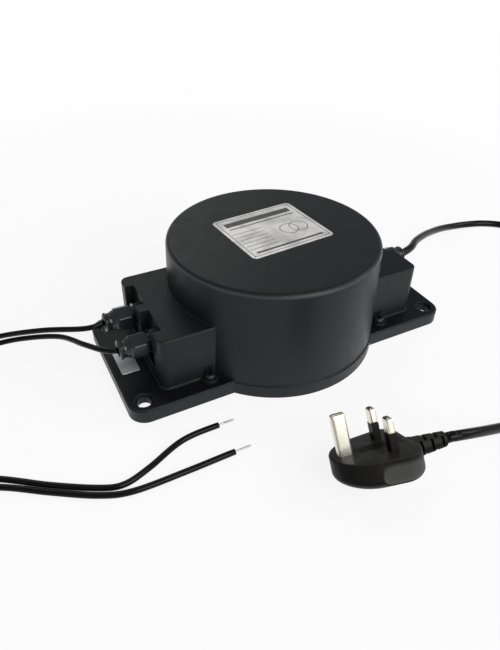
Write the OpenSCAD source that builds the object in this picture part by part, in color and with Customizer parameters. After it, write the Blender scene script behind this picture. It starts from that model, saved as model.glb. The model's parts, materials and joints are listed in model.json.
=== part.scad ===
// Encapsulated pool light transformer: a round potted drum between two terminal wings,
// bolted to a flanged base plate, with two low-voltage leads and a mains lead with its plug.
// Lengths are in millimetres. X runs along the plate towards the mains lead, Z is up,
// and the origin is under the middle of the plate.

/* [Base plate] */
// How far the plate runs out past each wing's end
plate_end = 23.3; // [20:0.1:30]
// How far the plate stands out past each side of the wings
plate_side = 12; // [10:0.5:16]
// Height of the plate from the wall it is fixed to
plate_h = 9.4; // [8.4:0.2:12]
// Radius of the plate's four corners
plate_corner_r = 11; // [6:1:14]
// Width of the ledge that the round flange leaves round the drum
flange_ledge = 0.8; // [0.5:0.1:3]
// Depth of the pocket under the plate
pocket_d = 3; // [1.5:0.5:4]
// Thickness of the rim that closes the pocket
rim_t = 3; // [2:0.5:4]
// Thickness of the ribs in the pocket
rib_t = 2; // [1.2:0.2:3]
// Distance of each fixing hole from the two nearest edges
hole_inset = 10; // [9:0.5:11]
// Diameter of the fixing holes
hole_d = 8.5; // [6:0.5:9]
// Diameter of the recess round each fixing hole
recess_d = 11.5; // [10:0.5:13]
// Depth of the recess round each fixing hole
recess_h = 2; // [1:0.5:3]
// Bevel along the plate's top edge
plate_bevel = 0.8; // [0.4:0.2:1.2]

/* [Drum] */
// Radius of the drum at its top
drum_top_r = 70; // [66:0.5:76]
// How far the drum's foot stands out past its top
drum_draft = 2; // [1:0.2:3]
// Height of the drum's top above the ground
drum_top_z = 76.5; // [74:0.5:90]
// Radius of the drum's top edge
drum_edge_r = 3.5; // [1.5:0.5:5]
// Thickness of the cover's walls
wall_t = 3; // [2.4:0.2:3.4]

/* [Wings] */
// How far each wing reaches out past the drum's foot
wing_out = 23.2; // [22:0.2:27]
// Width of the wings along Y
wing_w = 76; // [74:1:78]
// Height of the wings' top above the glands' axes
wing_over = 15.2; // [14:0.2:18]
// Radius of the wings' upright corners
wing_corner_r = 5; // [3:0.5:6]
// Radius of the wings' top edge
wing_edge_r = 1.2; // [0.6:0.2:2]
// Width of the gland recesses in the wings' ends
bay_w = 23; // [21:0.5:25]
// Depth of the gland recesses
bay_d = 6; // [5:0.5:7]
// Width of the lip round the wings' foot
lip_w = 1.2; // [0.6:0.2:1.6]
// Height of that lip
lip_h = 1.1; // [0.8:0.1:2]

/* [Cover screws] */
// Diameter of the four cover screws
screw_d = 3.9; // [3:0.1:4.2]
// Diameter of the screw heads
screw_head_d = 7.5; // [6.6:0.1:8]
// Height of the screw heads
screw_head_h = 2.6; // [2:0.2:3.2]
// Length of the screws under the head
screw_l = 9.5; // [8:0.5:10]
// Distance of the screws' axes from the drum's foot
screw_gap = 5.17; // [5:0.01:5.6]
// Distance of the screws' axes from the side of the wings
screw_out = 2.8; // [2.6:0.1:3.4]

/* [Gasket] */
// Width of the gasket under the cover's wall
gasket_w = 1.8; // [1.4:0.2:2.2]
// Thickness of the gasket
gasket_t = 1.2; // [0.8:0.2:2]

/* [Transformer core] */
// Inner radius of the strip-wound core
core_in_r = 26; // [24:0.5:28]
// Thickness of the core's insulation
core_wrap_t = 0.8; // [0.5:0.1:1.2]
// Thickness of the primary winding
primary_t = 3.2; // [2.4:0.2:3.6]
// Thickness of the tape between the windings
barrier_t = 0.6; // [0.4:0.1:1]
// Thickness of the secondary winding
secondary_t = 3.4; // [2.6:0.2:3.8]
// Thickness of the outer tape
tape_t = 0.8; // [0.5:0.1:1.2]
// Level of the potting compound's open face above the ground
potting_z = 12; // [11:0.5:13]
// Depth of compound under the toroid
potting_under = 2.4; // [1.6:0.2:3]
// Depth of compound between the toroid and the drum's top
potting_over = 7.5; // [5:0.5:12]
// Depth of compound round the toroid, at the drum's top
potting_round = 12.2; // [10:0.2:14]

/* [Cable glands] */
// Height of the glands' axes above the ground
gland_z = 31.5; // [30:0.5:33]
// Distance of each low-voltage gland from the middle of its wing
gland_y = 15; // [14:0.5:15.5]
// Size of the glands' hexagons across flats
gland_hex = 15; // [14:0.5:16]
// Size of the lock nuts across flats
lock_hex = 17; // [16:0.5:18]
// Diameter of the thread in the wall
gland_thread_d = 12.4; // [11.6:0.2:12.6]
// Diameter of the cap nut's thread
cap_thread_d = 11.8; // [11.2:0.2:12]
// Thickness of the cap nut's end collar past its thread
cap_collar_t = 0.5; // [0.3:0.1:0.8]
// Length of the cap nut
cap_l = 18.2; // [17:0.2:20]

/* [Leads] */
// Diameter of the low-voltage leads
lv_d = 3.6; // [3.2:0.1:4]
// Diameter of their bare strands
strand_d = 1.4; // [1.2:0.1:1.8]
// Length of bare strands at each free end
strand_l = 10; // [6:1:14]
// Diameter of the mains cable
mains_d = 6; // [5.6:0.1:6.4]
// Radius of the mains coil's innermost turn
coil_in_r = 24.5; // [24:0.5:26]
// Width of the coil's tie
tie_w = 5; // [3:0.5:8]
// Thickness of the tie's strap
tie_t = 1.2; // [0.8:0.1:1.4]

/* [Plug] */
// Distance between the line pin and the neutral pin
pin_pitch = 22.2; // [22:0.1:22.4]
// Distance of the earth pin from the line of the other two
earth_pitch = 22.2; // [22:0.1:22.4]
// Width of the line and neutral pins
pin_w = 6.35; // [6.2:0.05:6.5]
// Thickness of all three pins
pin_t = 4; // [3.9:0.05:4.1]
// Length of the line and neutral pins
pin_l = 17.7; // [17.4:0.1:18]
// Width of the earth pin
earth_w = 8; // [7.8:0.1:8.2]
// Length of the earth pin
earth_l = 22.7; // [22.4:0.1:23]
// Length of the sleeves on the line and neutral pins
sleeve_l = 9.1; // [8.5:0.1:9.5]
// Depth of the plug's body behind its pin face
plug_d = 18; // [17:0.5:22]
// Half the width of the plug's body
plug_half_w = 23.8; // [23.8:0.1:26]
// Length of the strain relief
relief_l = 19; // [18:1:28]
// Radius of the strain relief at the plug
relief_r = 5.9; // [5.6:0.1:6.4]
// Length of the fuse
fuse_l = 25.4; // [25:0.1:25.8]
// Diameter of the fuse
fuse_d = 6.3; // [6.1:0.05:6.4]

/* [Plates] */
// Length of the plate on the drum's top
top_label_l = 62; // [50:1:80]
// Width of the plate on the drum's top
top_label_w = 53; // [40:1:70]
// Angle of that plate to the X axis
top_label_turn = 5; // [-20:0.5:20]
// Length of the small plate under the low-voltage glands
small_label_l = 24; // [16:1:30]
// Width of the small plate
small_label_w = 12; // [8:1:14]
// Thickness of both plates
label_t = 0.4; // [0.2:0.1:0.8]

/* [Hidden] */
$fn = 64;
// Overrun of every cut past the face it opens
over = 1;
// Clearance round pieces that move, and of the free gap under the caps
clear = 0.3;
// Clearance of a running thread
thread_clear = 0.05;
// Degrees in one turn, half a turn and a quarter
turn = 360;
half = 180;
quarter = 90;

// Rounding of the plates' corners, and of the bare core's
label_corner_r = 3;
small_corner_r = 1;
// Middle of the plate on the drum's top
top_label_at = [1.8, 5.7];
// Distance of the small plate's middle from the middle of the base plate
small_label_y = -1.5;
// Radius of the ear round each screw, and of the niche for its head
ear_r = 5.2;
ear_h = 2.4;
niche_h = 6;
screw_boss_r = 4.6;
slot_w = 1;
slot_d = 1.2;
slot_share = 0.6;
screw_rim_share = 0.6;
screw_crown_share = 0.7;
// Draft of the wings' walls from top to foot
wing_draft = 0.4;
// Depth of each recess below its gland's axis
bay_below = 12;

drum_foot_r = drum_top_r + drum_draft;
wing_x = drum_foot_r + wing_out;
wing_y = wing_w / 2;
wing_top_z = gland_z + wing_over;
plate_l = 2 * (wing_x + plate_end);
plate_w = wing_w + 2 * plate_side;
flange_r = drum_foot_r + flange_ledge;
screw_y = wing_y + screw_out;
screw_x = sqrt(pow(drum_foot_r + screw_gap, 2) - pow(screw_y, 2));
hole_x = plate_l / 2 - hole_inset;
hole_y = plate_w / 2 - hole_inset;
screw_z = plate_h + ear_h;
bay_wall_x = wing_x - bay_d;
ceiling_z = drum_top_z - wall_t;
wing_ceiling_z = wing_top_z - wall_t;

// Toroid layers, from the core outwards
wrap1 = core_wrap_t;
wrap2 = wrap1 + primary_t;
wrap3 = wrap2 + barrier_t;
wrap4 = wrap3 + secondary_t;
wrap5 = wrap4 + tape_t;
toroid_out_r = drum_top_r - wall_t - potting_round;
core_out_r = toroid_out_r - wrap5;
core_z = potting_z + potting_under + wrap5;
core_h = ceiling_z - potting_over - wrap5 - core_z;
toroid_mid_z = core_z + core_h / 2;
// The ring rib under the plate stands below the core's outer edge
ring_rib_r = core_out_r;

// Gland, measured outwards from the wall's outer face
washer_t = 1;
washer_w = 1.8;
gland_flange_h = 4;
cap_gap = 1.6;
lock_h = 5;
stub_past_lock = 1.5;
bore_space = 0.5;
gland_bore_r = mains_d / 2 + bore_space;
body_thread_l = 8;
claw_taper = 0.8;
claw_wall = 0.45;
claw_r = cap_thread_d / 2 - clear;
claw_tip_r = claw_r - claw_taper;
claw_count = 8;
claw_gap = 0.9;
seal_r = claw_tip_r - claw_wall;
seal_l = 11.3;
mouth_space = 0.75;
cap_mouth_r = mains_d / 2 + mouth_space;
cap_collar_r = cap_thread_d / 2 + cap_collar_t;
cap_front = 3.8;
cap_hex_share = 0.64;
cap_chamfer = 1.2;
cap_rim_t = 1;
cap_groove_d = 0.7;
cap_thread_share = 0.47;
flange_z = washer_t + gland_flange_h;
cap_z = flange_z + cap_gap;
cap_end_z = cap_z + cap_l;
claw_z = flange_z + body_thread_l;
claw_end_z = cap_end_z - cap_front;
claw_l = claw_end_z - claw_z;
cap_cone_z = cap_z + cap_l * cap_thread_share;
cap_cone_end_z = claw_end_z + clear * 2;
stub_end = wall_t + lock_h + stub_past_lock;
lv_end_x = -(bay_wall_x + cap_end_z);
mains_end_x = bay_wall_x + cap_end_z;
// The glands: place along X, place along Y, turn about Z
rear_gland = [-bay_wall_x, gland_y, half];
front_gland = [-bay_wall_x, -gland_y, half];
mains_gland = [bay_wall_x, 0, 0];

// Wires inside the wings: their lengths are shares of the room between gland and toroid
tail_end_x = bay_wall_x - stub_end - wall_t;
wire_room = tail_end_x - toroid_out_r;
lv_core_share = 0.18;
lv_splice_share = 0.6;
mains_fan_share = 0.23;
mains_splice_share = 0.41;
lv_core_l = wire_room * lv_core_share;
lv_splice_l = wire_room * lv_splice_share;
lv_splice_r = 2.6;
strand_tip_share = 0.85;
lead_r = 1.1;
mains_core_r = 1.2;
mains_core_y = 1.4;
mains_splice_y = 7;
mains_splice_r = 2.4;
mains_lead_r = 0.9;
fan_end_x = tail_end_x - wire_room * mains_fan_share;
mains_splice_end_x = fan_end_x - wire_room * mains_splice_share;
cutout_l = 16;
cutout_w = 8;
cutout_h = 3.6;
cutout_x = toroid_out_r + clear + cutout_h / 2;

// Gap that keeps what lies loose off the ground
lie_gap = 0.2;

// Coil of mains cable, and the tie that holds it
coil_at = [217, -100];
coil_space = 0.6;
coil_pitch = mains_d + coil_space;
coil_turns_in = 2.5;
coil_turns_out = 2.75;
coil_climb_turns = 0.5;
coil_steps = 24;
coil_sides = 6;
tie_u = 0.25;
coil_z = tie_t + clear + mains_d / 2;
tie_head = 4;

// Plug: its turns about X, Y and Z, and its body, which is a bowl of slices
plug_tilt = [-33.7, -5.9, -12];
plug_nose = 2.2;
plug_face_r = plug_half_w - plug_nose;
plug_shoulder_r = 9;
plug_reach = 13;
plug_edge = 0.8;
plug_nose_x = -8.7;
plug_slice_t = 0.25;
plug_slices = 4;
plug_band = 9;
plug_sweep_share = 0.69;
plug_sweep = quarter * plug_sweep_share;
// Share and depth of each slice, from the pin face down
bowl = concat(
    [[1 - plug_edge / plug_half_w, -plug_slice_t], [1, -plug_edge]],
    [for (k = [0:plug_slices]) let (a = plug_sweep * k / plug_slices)
        [cos(a), -plug_band - (plug_d - plug_band) * sin(a) / sin(plug_sweep)]]
);
// The three circles that a slice is made of: their place along X and Y, and their radius
plug_rounds = [
    [plug_nose_x, 0, plug_face_r],
    [plug_reach - plug_shoulder_r, plug_half_w - plug_shoulder_r, plug_shoulder_r],
    [plug_reach - plug_shoulder_r, plug_shoulder_r - plug_half_w, plug_shoulder_r]
];
// The plug lies tilted on the ground, so the lowest point of its body sets its height
plug_slope = norm([tilted([1, 0, 0])[2], tilted([0, 1, 0])[2]]);
plug_low = min([
    for (s = bowl, c = plug_rounds) tilted([c[0] * s[0], c[1] * s[0], s[1]])[2] - c[2] * s[0] * plug_slope
]);
plug_at = [-9, -139.5, lie_gap - plug_low];
neck_step = 0.4;
neck_r = relief_r + neck_step;
neck_l = 2;
neck_z = -6.4;
pin_root = 6;
pin_neck = 0.5;
pin_chamfer = 1.2;
carrier_end_t = 1;
carrier_side_t = 1.05;
carrier_face_t = 2.2;
carrier_foot = 0.8;
carrier_l = fuse_l + 2 * carrier_end_t;
carrier_w = fuse_d + 2 * carrier_side_t;
carrier_d = carrier_face_t + fuse_d + carrier_foot;
carrier_x = -3.2;
fuse_z = -carrier_face_t - fuse_d / 2;
fuse_cap_l = 6;
fuse_cap_t = 0.15;
grip_r = 9;
grip_l = 24;
grip_d = 2;
grip_x = -4;
grip_z = -7;
relief_taper = 1.7;
relief_tip_r = relief_r - relief_taper;
relief_grooves = 4;
relief_groove_w = 1.2;
relief_groove_d = 1.3;

// Routes of the free cords. The first and the last point only aim the ends.
lv_lie = lv_d / 2 + lie_gap;
mains_lie = mains_d / 2 + lie_gap;
rear_route = [
    [-100, 15, 31.5], [lv_end_x, gland_y, gland_z], [-126, 16, 30.4], [-150, 36, 23],
    [-176, 57, 12], [-200, 66, 5], [-226, 60, lv_lie], [-247, 38, lv_lie], [-254, 10, lv_lie],
    [-249, -20, lv_lie], [-226, -45, lv_lie], [-195, -59.5, lv_lie], [-172, -74.5, lv_lie],
    [-150, -87.7, lv_lie], [-133, -93.3, lv_lie], [-104, -94, lv_lie], [-74, -93.7, lv_lie],
    [-44, -94, lv_lie]
];
front_route = [
    [-100, -15, 31.5], [lv_end_x, -gland_y, gland_z], [-122, -9, 30.4], [-130, 5, 27],
    [-141, 30.5, 18.5], [-161, 50, 10], [-180, 59, 5], [-204, 60, lv_lie], [-226, 50, lv_lie],
    [-242, 32, lv_lie], [-248, 8, lv_lie], [-243, -17, lv_lie], [-222, -39, lv_lie], [-194, -54.3, lv_lie],
    [-171.3, -70, lv_lie], [-148.5, -83.4, lv_lie], [-136, -87, lv_lie], [-120.8, -82.7, lv_lie],
    [-97.5, -73, lv_lie], [-74, -71.6, lv_lie], [-50, -73, lv_lie]
];
relief_end = relief_at(neck_l + relief_l);
coil_start = [coil_at[0] + coil_r(-coil_turns_in), coil_at[1] + mains_d, coil_z];
coil_end = [coil_at[0] - mains_d, coil_at[1] - coil_r(coil_turns_out), coil_z + coil_pitch];
supply_route = [
    [98, 0, 31.5], [mains_end_x, 0, gland_z], [129.5, 5.5, 30.2], [145, 16.5, 27],
    [164, 27.5, 22], [183, 37, 16.5], [203, 45, 11], [222, 49.8, 6.5], [241, 50.3, 4],
    [259, 45.8, mains_lie], [273, 36, mains_lie], [281.5, 21, mains_lie], [283, 3, mains_lie],
    [279, -16, mains_lie],
    [272, -36, mains_lie], [265, -56, 3.6], [260, -76, 4.3], coil_start, [258, -112, 4.5]
];
plug_route = [
    relief_at(-relief_l), relief_end, [29.8, -151.6, 21.7], [37.1, -152.6, 20.5],
    [47, -152.8, 17.3], [58.2, -152.4, 13], [68, -152, 9.3], [78, -151.8, 5.9], [90, -151.6, 3.9],
    [104, -151.5, mains_lie], [118, -151.5, mains_lie], [134, -151.5, mains_lie], [150, -150.5, 3.8],
    [168, -147.5, 6.2], [188, -144, 9.6], coil_end, [234, -143, 11.1]
];

// Plans and profiles

module round_rect(l, w, r) {
    square([l - 2 * r, w], center = true);
    square([l, w - 2 * r], center = true);
    for (x = [-1, 1], y = [-1, 1])
        translate([x * (l / 2 - r), y * (w / 2 - r)]) circle(r);
}

module plate_plan(inset) {
    round_rect(plate_l - 2 * inset, plate_w - 2 * inset, plate_corner_r - inset);
    circle(flange_r - inset, $fn = 128);
}

module foot_plan(inset) {
    circle(drum_foot_r - inset, $fn = 128);
    round_rect(2 * (wing_x - inset), 2 * (wing_y + wing_draft - inset), wing_corner_r - inset);
}

module at_corners(x, y) {
    for (sx = [-1, 1], sy = [-1, 1]) translate([sx * x, sy * y]) children();
}

module rod(p, q, r) {
    d = q - p;
    translate(p) rotate([0, acos(d[2] / norm(d)), atan2(d[1], d[0])])
        cylinder(h = norm(d), r = r, $fn = 24);
}

// Base plate, gasket and cover

module base_plate() {
    color([0.13, 0.14, 0.14]) difference() {
        union() {
            linear_extrude(plate_h - plate_bevel) plate_plan(0);
            linear_extrude(plate_h) plate_plan(plate_bevel);
        }
        translate([0, 0, -over]) linear_extrude(over + pocket_d) pocket_plan();
        at_corners(hole_x, hole_y) {
            translate([0, 0, -over]) cylinder(h = plate_h + 2 * over, d = hole_d);
            translate([0, 0, plate_h - recess_h]) cylinder(h = recess_h + over, d = recess_d);
        }
        at_corners(screw_x, screw_y)
            translate([0, 0, screw_z - screw_l]) cylinder(h = screw_l, d = screw_d);
        translate([0, 0, plate_h - gasket_t]) linear_extrude(gasket_t + over) gasket_plan();
    }
}

module pocket_plan() {
    difference() {
        plate_plan(rim_t);
        square([plate_l, rib_t], center = true);
        for (x = [-1, 0, 1]) translate([x * ring_rib_r, 0]) square([rib_t, plate_w * 2], center = true);
        difference() {
            circle(ring_rib_r + rib_t / 2, $fn = 128);
            circle(ring_rib_r - rib_t / 2, $fn = 128);
        }
        at_corners(screw_x, screw_y) circle(screw_boss_r);
    }
}

module gasket_plan() {
    inset = (wall_t - gasket_w) / 2;
    difference() {
        foot_plan(inset);
        foot_plan(inset + gasket_w);
    }
}

module gasket() {
    color([0.25, 0.25, 0.25])
        translate([0, 0, plate_h - gasket_t]) linear_extrude(gasket_t) gasket_plan();
}

module drum_profile(r_foot, r_top, z_top, edge) {
    polygon([[0, plate_h], [r_foot, plate_h], [r_top, z_top - edge], [0, z_top - edge]]);
    translate([0, z_top - edge - over]) square([r_top - edge, edge + over]);
    translate([r_top - edge, z_top - edge]) circle(edge, $fn = 48);
}

// Outline of a wing's upright corner, with the top edge's rounding
function corner_profile() = concat(
    [[0, 0], [wing_corner_r + wing_draft, 0]],
    [for (a = [0:quarter / 4:quarter]) [
        wing_corner_r - wing_edge_r * (1 - cos(a)),
        wing_top_z - plate_h - wing_edge_r * (1 - sin(a))
    ]],
    [[0, wing_top_z - plate_h]]
);

module wings_outside() {
    translate([0, 0, plate_h]) hull()
        at_corners(wing_x - wing_corner_r, wing_y - wing_corner_r)
            rotate_extrude($fn = 32) polygon(corner_profile());
}

// The room inside the cover: the drum's and the wings', with the walls round each recess
module cover_room(z_from) {
    rotate_extrude($fn = 128) intersection() {
        drum_profile(drum_foot_r - wall_t, drum_top_r - wall_t, ceiling_z, drum_edge_r - wall_t / 4);
        translate([0, z_from]) square([plate_l, drum_top_z]);
    }
    difference() {
        translate([0, 0, z_from]) linear_extrude(wing_ceiling_z - z_from)
            round_rect(2 * (wing_x - wall_t), 2 * (wing_y - wall_t), wing_corner_r - wall_t / 2);
        bays(wall_t);
    }
}

// Recesses in the wings' ends; grow thickens them by a wall
module bays(grow) {
    for (g = [rear_gland, front_gland, mains_gland])
        translate([g[0], g[1], gland_z - bay_below - grow]) rotate(g[2])
            translate([-grow, -bay_w / 2 - grow, 0])
                cube([bay_d + grow + over, bay_w + 2 * grow, wing_top_z]);
}

module cover() {
    color([0.15, 0.16, 0.16]) difference() {
        union() {
            rotate_extrude($fn = 128) drum_profile(drum_foot_r, drum_top_r, drum_top_z, drum_edge_r);
            wings_outside();
            translate([0, 0, plate_h]) linear_extrude(lip_h)
                round_rect(2 * (wing_x + lip_w), 2 * (wing_y + lip_w), wing_corner_r + lip_w);
            at_corners(screw_x, screw_y) translate([0, 0, plate_h]) cylinder(h = ear_h, r = ear_r);
        }
        translate([0, 0, -over]) cylinder(h = plate_h + over, r = plate_l);
        cover_room(plate_h - over);
        bays(0);
        at_corners(screw_x, screw_y) {
            translate([0, 0, plate_h - over]) cylinder(h = ear_h + 2 * over, d = screw_d);
            translate([0, 0, screw_z]) cylinder(h = niche_h, d = screw_head_d + 2 * clear);
        }
        for (g = [rear_gland, front_gland, mains_gland]) along(g)
            translate([0, 0, -wall_t - over])
                cylinder(h = wall_t + 2 * over, d = gland_thread_d + 2 * thread_clear);
    }
}

module cover_screws() {
    rim_h = screw_head_h * screw_rim_share;
    color([0.2, 0.2, 0.2]) at_corners(screw_x, screw_y) translate([0, 0, screw_z]) difference() {
        union() {
            translate([0, 0, -screw_l]) cylinder(h = screw_l, d = screw_d);
            cylinder(h = rim_h, d = screw_head_d);
            translate([0, 0, rim_h]) cylinder(
                h = screw_head_h - rim_h, d1 = screw_head_d, d2 = screw_head_d * screw_crown_share);
        }
        for (a = [0, quarter]) rotate(a) translate([0, 0, screw_head_h])
            cube([screw_head_d * slot_share, slot_w, 2 * slot_d], center = true);
    }
}

// Toroidal transformer

// Cross-section of the toroid grown by a wrap, with rounded corners
module ring_section(grow) {
    w = core_out_r - core_in_r + 2 * grow;
    translate([(core_in_r + core_out_r) / 2, 0])
        round_rect(w, core_h + 2 * grow, max(grow, small_corner_r));
}

module toroid_layer(inner, outer) {
    translate([0, 0, toroid_mid_z]) rotate_extrude($fn = 96) difference() {
        ring_section(outer);
        ring_section(inner);
    }
}

module toroid_core() {
    color([0.45, 0.46, 0.48]) translate([0, 0, toroid_mid_z]) rotate_extrude($fn = 96) ring_section(0);
}

module core_wrap() { color([0.85, 0.8, 0.45]) toroid_layer(0, wrap1); }

module primary_winding() { color([0.7, 0.36, 0.16]) toroid_layer(wrap1, wrap2); }

module barrier_tape() { color([0.9, 0.86, 0.5]) toroid_layer(wrap2, wrap3); }

module secondary_winding() { color([0.78, 0.42, 0.2]) toroid_layer(wrap3, wrap4); }

module outer_tape() { color([0.92, 0.78, 0.2]) toroid_layer(wrap4, wrap5); }

// The cut-out lies against the side of the windings, in the line wire
module thermal_cutout() {
    color([0.75, 0.75, 0.72]) translate([cutout_x, mains_splice_y, gland_z])
        cube([cutout_h, cutout_w, cutout_l], center = true);
}

module primary_leads() {
    wall = sqrt(pow(toroid_out_r, 2) - pow(mains_splice_y - mains_lead_r, 2));
    starts = [[wall, -mains_splice_y, gland_z], [cutout_x + cutout_h / 2, mains_splice_y, gland_z]];
    color([0.5, 0.28, 0.12]) for (p = starts)
        rod([mains_splice_end_x, p[1], gland_z], p, mains_lead_r);
}

module secondary_leads() {
    splice_end = tail_end_x - lv_core_l - lv_splice_l;
    wall = sqrt(pow(toroid_out_r, 2) - pow(gland_y - lead_r, 2));
    color([0.8, 0.45, 0.22]) for (y = [-gland_y, gland_y])
        rod([-splice_end, y, gland_z], [-wall, y, gland_z], lead_r);
}

module mains_splices() {
    color([0.75, 0.2, 0.15]) for (y = [-mains_splice_y, mains_splice_y])
        rod([fan_end_x, y, gland_z], [mains_splice_end_x, y, gland_z], mains_splice_r);
}

module lv_splices() {
    color([0.2, 0.3, 0.6]) for (y = [-gland_y, gland_y])
        rod([-tail_end_x + lv_core_l, y, gland_z],
            [-tail_end_x + lv_core_l + lv_splice_l, y, gland_z], lv_splice_r);
}

// Room left in the compound for the wires and their splices
module wire_ways() {
    core_r = toroid_out_r - tape_t;
    for (y = [-gland_y, gland_y])
        rod([-bay_wall_x, y, gland_z], [-core_r + lv_splice_l, y, gland_z], lv_splice_r);
    for (y = [-mains_splice_y, mains_splice_y])
        rod([tail_end_x, y, gland_z], [core_r - lv_splice_l, y, gland_z], mains_splice_r);
    translate([fan_end_x, -mains_splice_y - mains_splice_r, gland_z - mains_d / 2])
        cube([tail_end_x + 2 * wall_t - fan_end_x, 2 * (mains_splice_y + mains_splice_r), mains_d]);
}

module potting_compound() {
    color([0.2, 0.19, 0.18]) difference() {
        cover_room(potting_z);
        translate([0, 0, toroid_mid_z]) rotate_extrude($fn = 96) ring_section(wrap5);
        thermal_cutout();
        wire_ways();
        for (g = [rear_gland, front_gland, mains_gland]) along(g) {
            translate([0, 0, -stub_end]) cylinder(h = stub_end, d = gland_thread_d);
            translate([0, 0, -wall_t - lock_h]) rotate(half / 6) hex(lock_hex, lock_h + over);
        }
    }
}

// Cable glands, each made along Z and then laid along its own axis

module along(g) {
    translate([g[0], g[1], gland_z]) rotate(g[2]) rotate([0, quarter, 0]) children();
}

module hex(size, h) { cylinder(h = h, d = size / cos(half / 6), $fn = 6); }

module gland_washers() {
    color([0.12, 0.12, 0.12]) for (g = [rear_gland, front_gland, mains_gland]) along(g)
        difference() {
            cylinder(h = washer_t, d = gland_thread_d + 2 * washer_w);
            translate([0, 0, -over]) cylinder(h = washer_t + 2 * over, d = gland_thread_d);
        }
}

module gland_lock_nuts() {
    color([0.14, 0.14, 0.15]) for (g = [rear_gland, front_gland, mains_gland]) along(g)
        translate([0, 0, -wall_t - lock_h]) difference() {
            rotate(half / 6) hex(lock_hex, lock_h);
            translate([0, 0, -over]) cylinder(h = lock_h + 2 * over, d = gland_thread_d);
        }
}

module gland_body() {
    color([0.14, 0.14, 0.15]) difference() {
        union() {
            translate([0, 0, -stub_end]) cylinder(h = stub_end + washer_t + over, d = gland_thread_d);
            translate([0, 0, washer_t]) hex(gland_hex, gland_flange_h);
            cylinder(h = claw_z, d = cap_thread_d);
            translate([0, 0, claw_z]) cylinder(h = claw_l, r1 = claw_r, r2 = claw_tip_r);
        }
        translate([0, 0, -stub_end - over]) cylinder(h = claw_end_z + stub_end, r = gland_bore_r);
        translate([0, 0, claw_end_z - seal_l + clear]) cylinder(h = seal_l + over, r = seal_r);
        for (k = [0:claw_count / 2 - 1]) rotate(k * turn / claw_count)
            translate([0, 0, claw_z + claw_l / 2 + over])
                cube([claw_gap, 3 * claw_r, claw_l + over], center = true);
    }
}

module gland_seal(cable_d) {
    color([0.08, 0.08, 0.08]) translate([0, 0, claw_end_z - seal_l + clear]) difference() {
        cylinder(h = seal_l, r = seal_r);
        translate([0, 0, -over]) cylinder(h = seal_l + 2 * over, d = cable_d);
    }
}

// Cap nut: a hexagon chamfered at its end, a grooved collar and a rounded mouth
module gland_cap() {
    hex_l = cap_l * cap_hex_share;
    hex_r = gland_hex / 2 / cos(half / 6);
    color([0.16, 0.16, 0.17]) translate([0, 0, cap_z]) difference() {
        union() {
            intersection() {
                hex(gland_hex, hex_l);
                rotate_extrude() polygon([
                    [0, 0], [gland_hex / 2, 0], [hex_r, cap_chamfer], [hex_r, hex_l - 2 * cap_chamfer],
                    [gland_hex / 2 - cap_chamfer, hex_l], [0, hex_l]
                ]);
            }
            rotate_extrude() polygon([
                [0, hex_l - cap_chamfer], [cap_collar_r, hex_l - cap_chamfer],
                [cap_collar_r, hex_l + cap_chamfer],
                [cap_collar_r - cap_groove_d, hex_l + cap_chamfer + cap_groove_d],
                [cap_collar_r - cap_groove_d, cap_l - 2 * cap_rim_t],
                [cap_collar_r, cap_l - 2 * cap_rim_t + cap_groove_d / 2],
                [cap_collar_r, cap_l - cap_rim_t], [cap_collar_r - cap_rim_t, cap_l], [0, cap_l]
            ]);
        }
        translate([0, 0, -over])
            cylinder(h = cap_cone_z - cap_z + over, d = cap_thread_d + 2 * thread_clear);
        translate([0, 0, cap_cone_z - cap_z]) cylinder(
            h = cap_cone_end_z - cap_cone_z, d1 = cap_thread_d + 2 * thread_clear,
            r2 = claw_tip_r + clear);
        cylinder(h = cap_l + over, r = cap_mouth_r);
        translate([0, 0, cap_l - cap_rim_t])
            cylinder(h = cap_rim_t * 2, r1 = cap_mouth_r, r2 = cap_mouth_r + 2 * cap_rim_t);
    }
}

module rear_gland_body() { along(rear_gland) gland_body(); }

module front_gland_body() { along(front_gland) gland_body(); }

module mains_gland_body() { along(mains_gland) gland_body(); }

module rear_gland_seal() { along(rear_gland) gland_seal(lv_d); }

module front_gland_seal() { along(front_gland) gland_seal(lv_d); }

module mains_gland_seal() { along(mains_gland) gland_seal(mains_d); }

module rear_gland_cap() { along(rear_gland) gland_cap(); }

module front_gland_cap() { along(front_gland) gland_cap(); }

module mains_gland_cap() { along(mains_gland) gland_cap(); }

// The leads inside the glands and the wings

module lv_tails() {
    color([0.07, 0.07, 0.07]) for (y = [-gland_y, gland_y]) {
        rod([lv_end_x, y, gland_z], [-tail_end_x, y, gland_z], lv_d / 2);
        rod([-tail_end_x, y, gland_z], [-tail_end_x + lv_core_l, y, gland_z], strand_d / 2);
    }
}

module mains_tail() {
    color([0.07, 0.07, 0.07]) {
        rod([mains_end_x, 0, gland_z], [tail_end_x, 0, gland_z], mains_d / 2);
        // The cores fan out and end flush with their splices
        difference() {
            for (s = [-1, 1])
                let (p = [tail_end_x, s * mains_core_y, gland_z],
                    q = [fan_end_x, s * mains_splice_y, gland_z])
                    rod(p, q + over * unit(q - p), mains_core_r);
            translate([fan_end_x - wing_x, -wing_y, 0]) cube([wing_x, wing_w, wing_top_z]);
        }
    }
}

// Free cords: a tube of rings swept along a route

function blend4(a, b, c, d, t) = 0.5 * (2 * b + (c - a) * t + (2 * a - 5 * b + 4 * c - d) * t * t
    + (3 * b - a - 3 * c + d) * t * t * t);

// Points of a smooth line through a route, steps to each stretch
function smooth(route, steps) = [
    for (i = [1:len(route) - 3], k = [0:steps - 1])
        blend4(route[i - 1], route[i], route[i + 1], route[i + 2], k / steps),
    route[len(route) - 2]
];

function unit(v) = v / norm(v);

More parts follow.
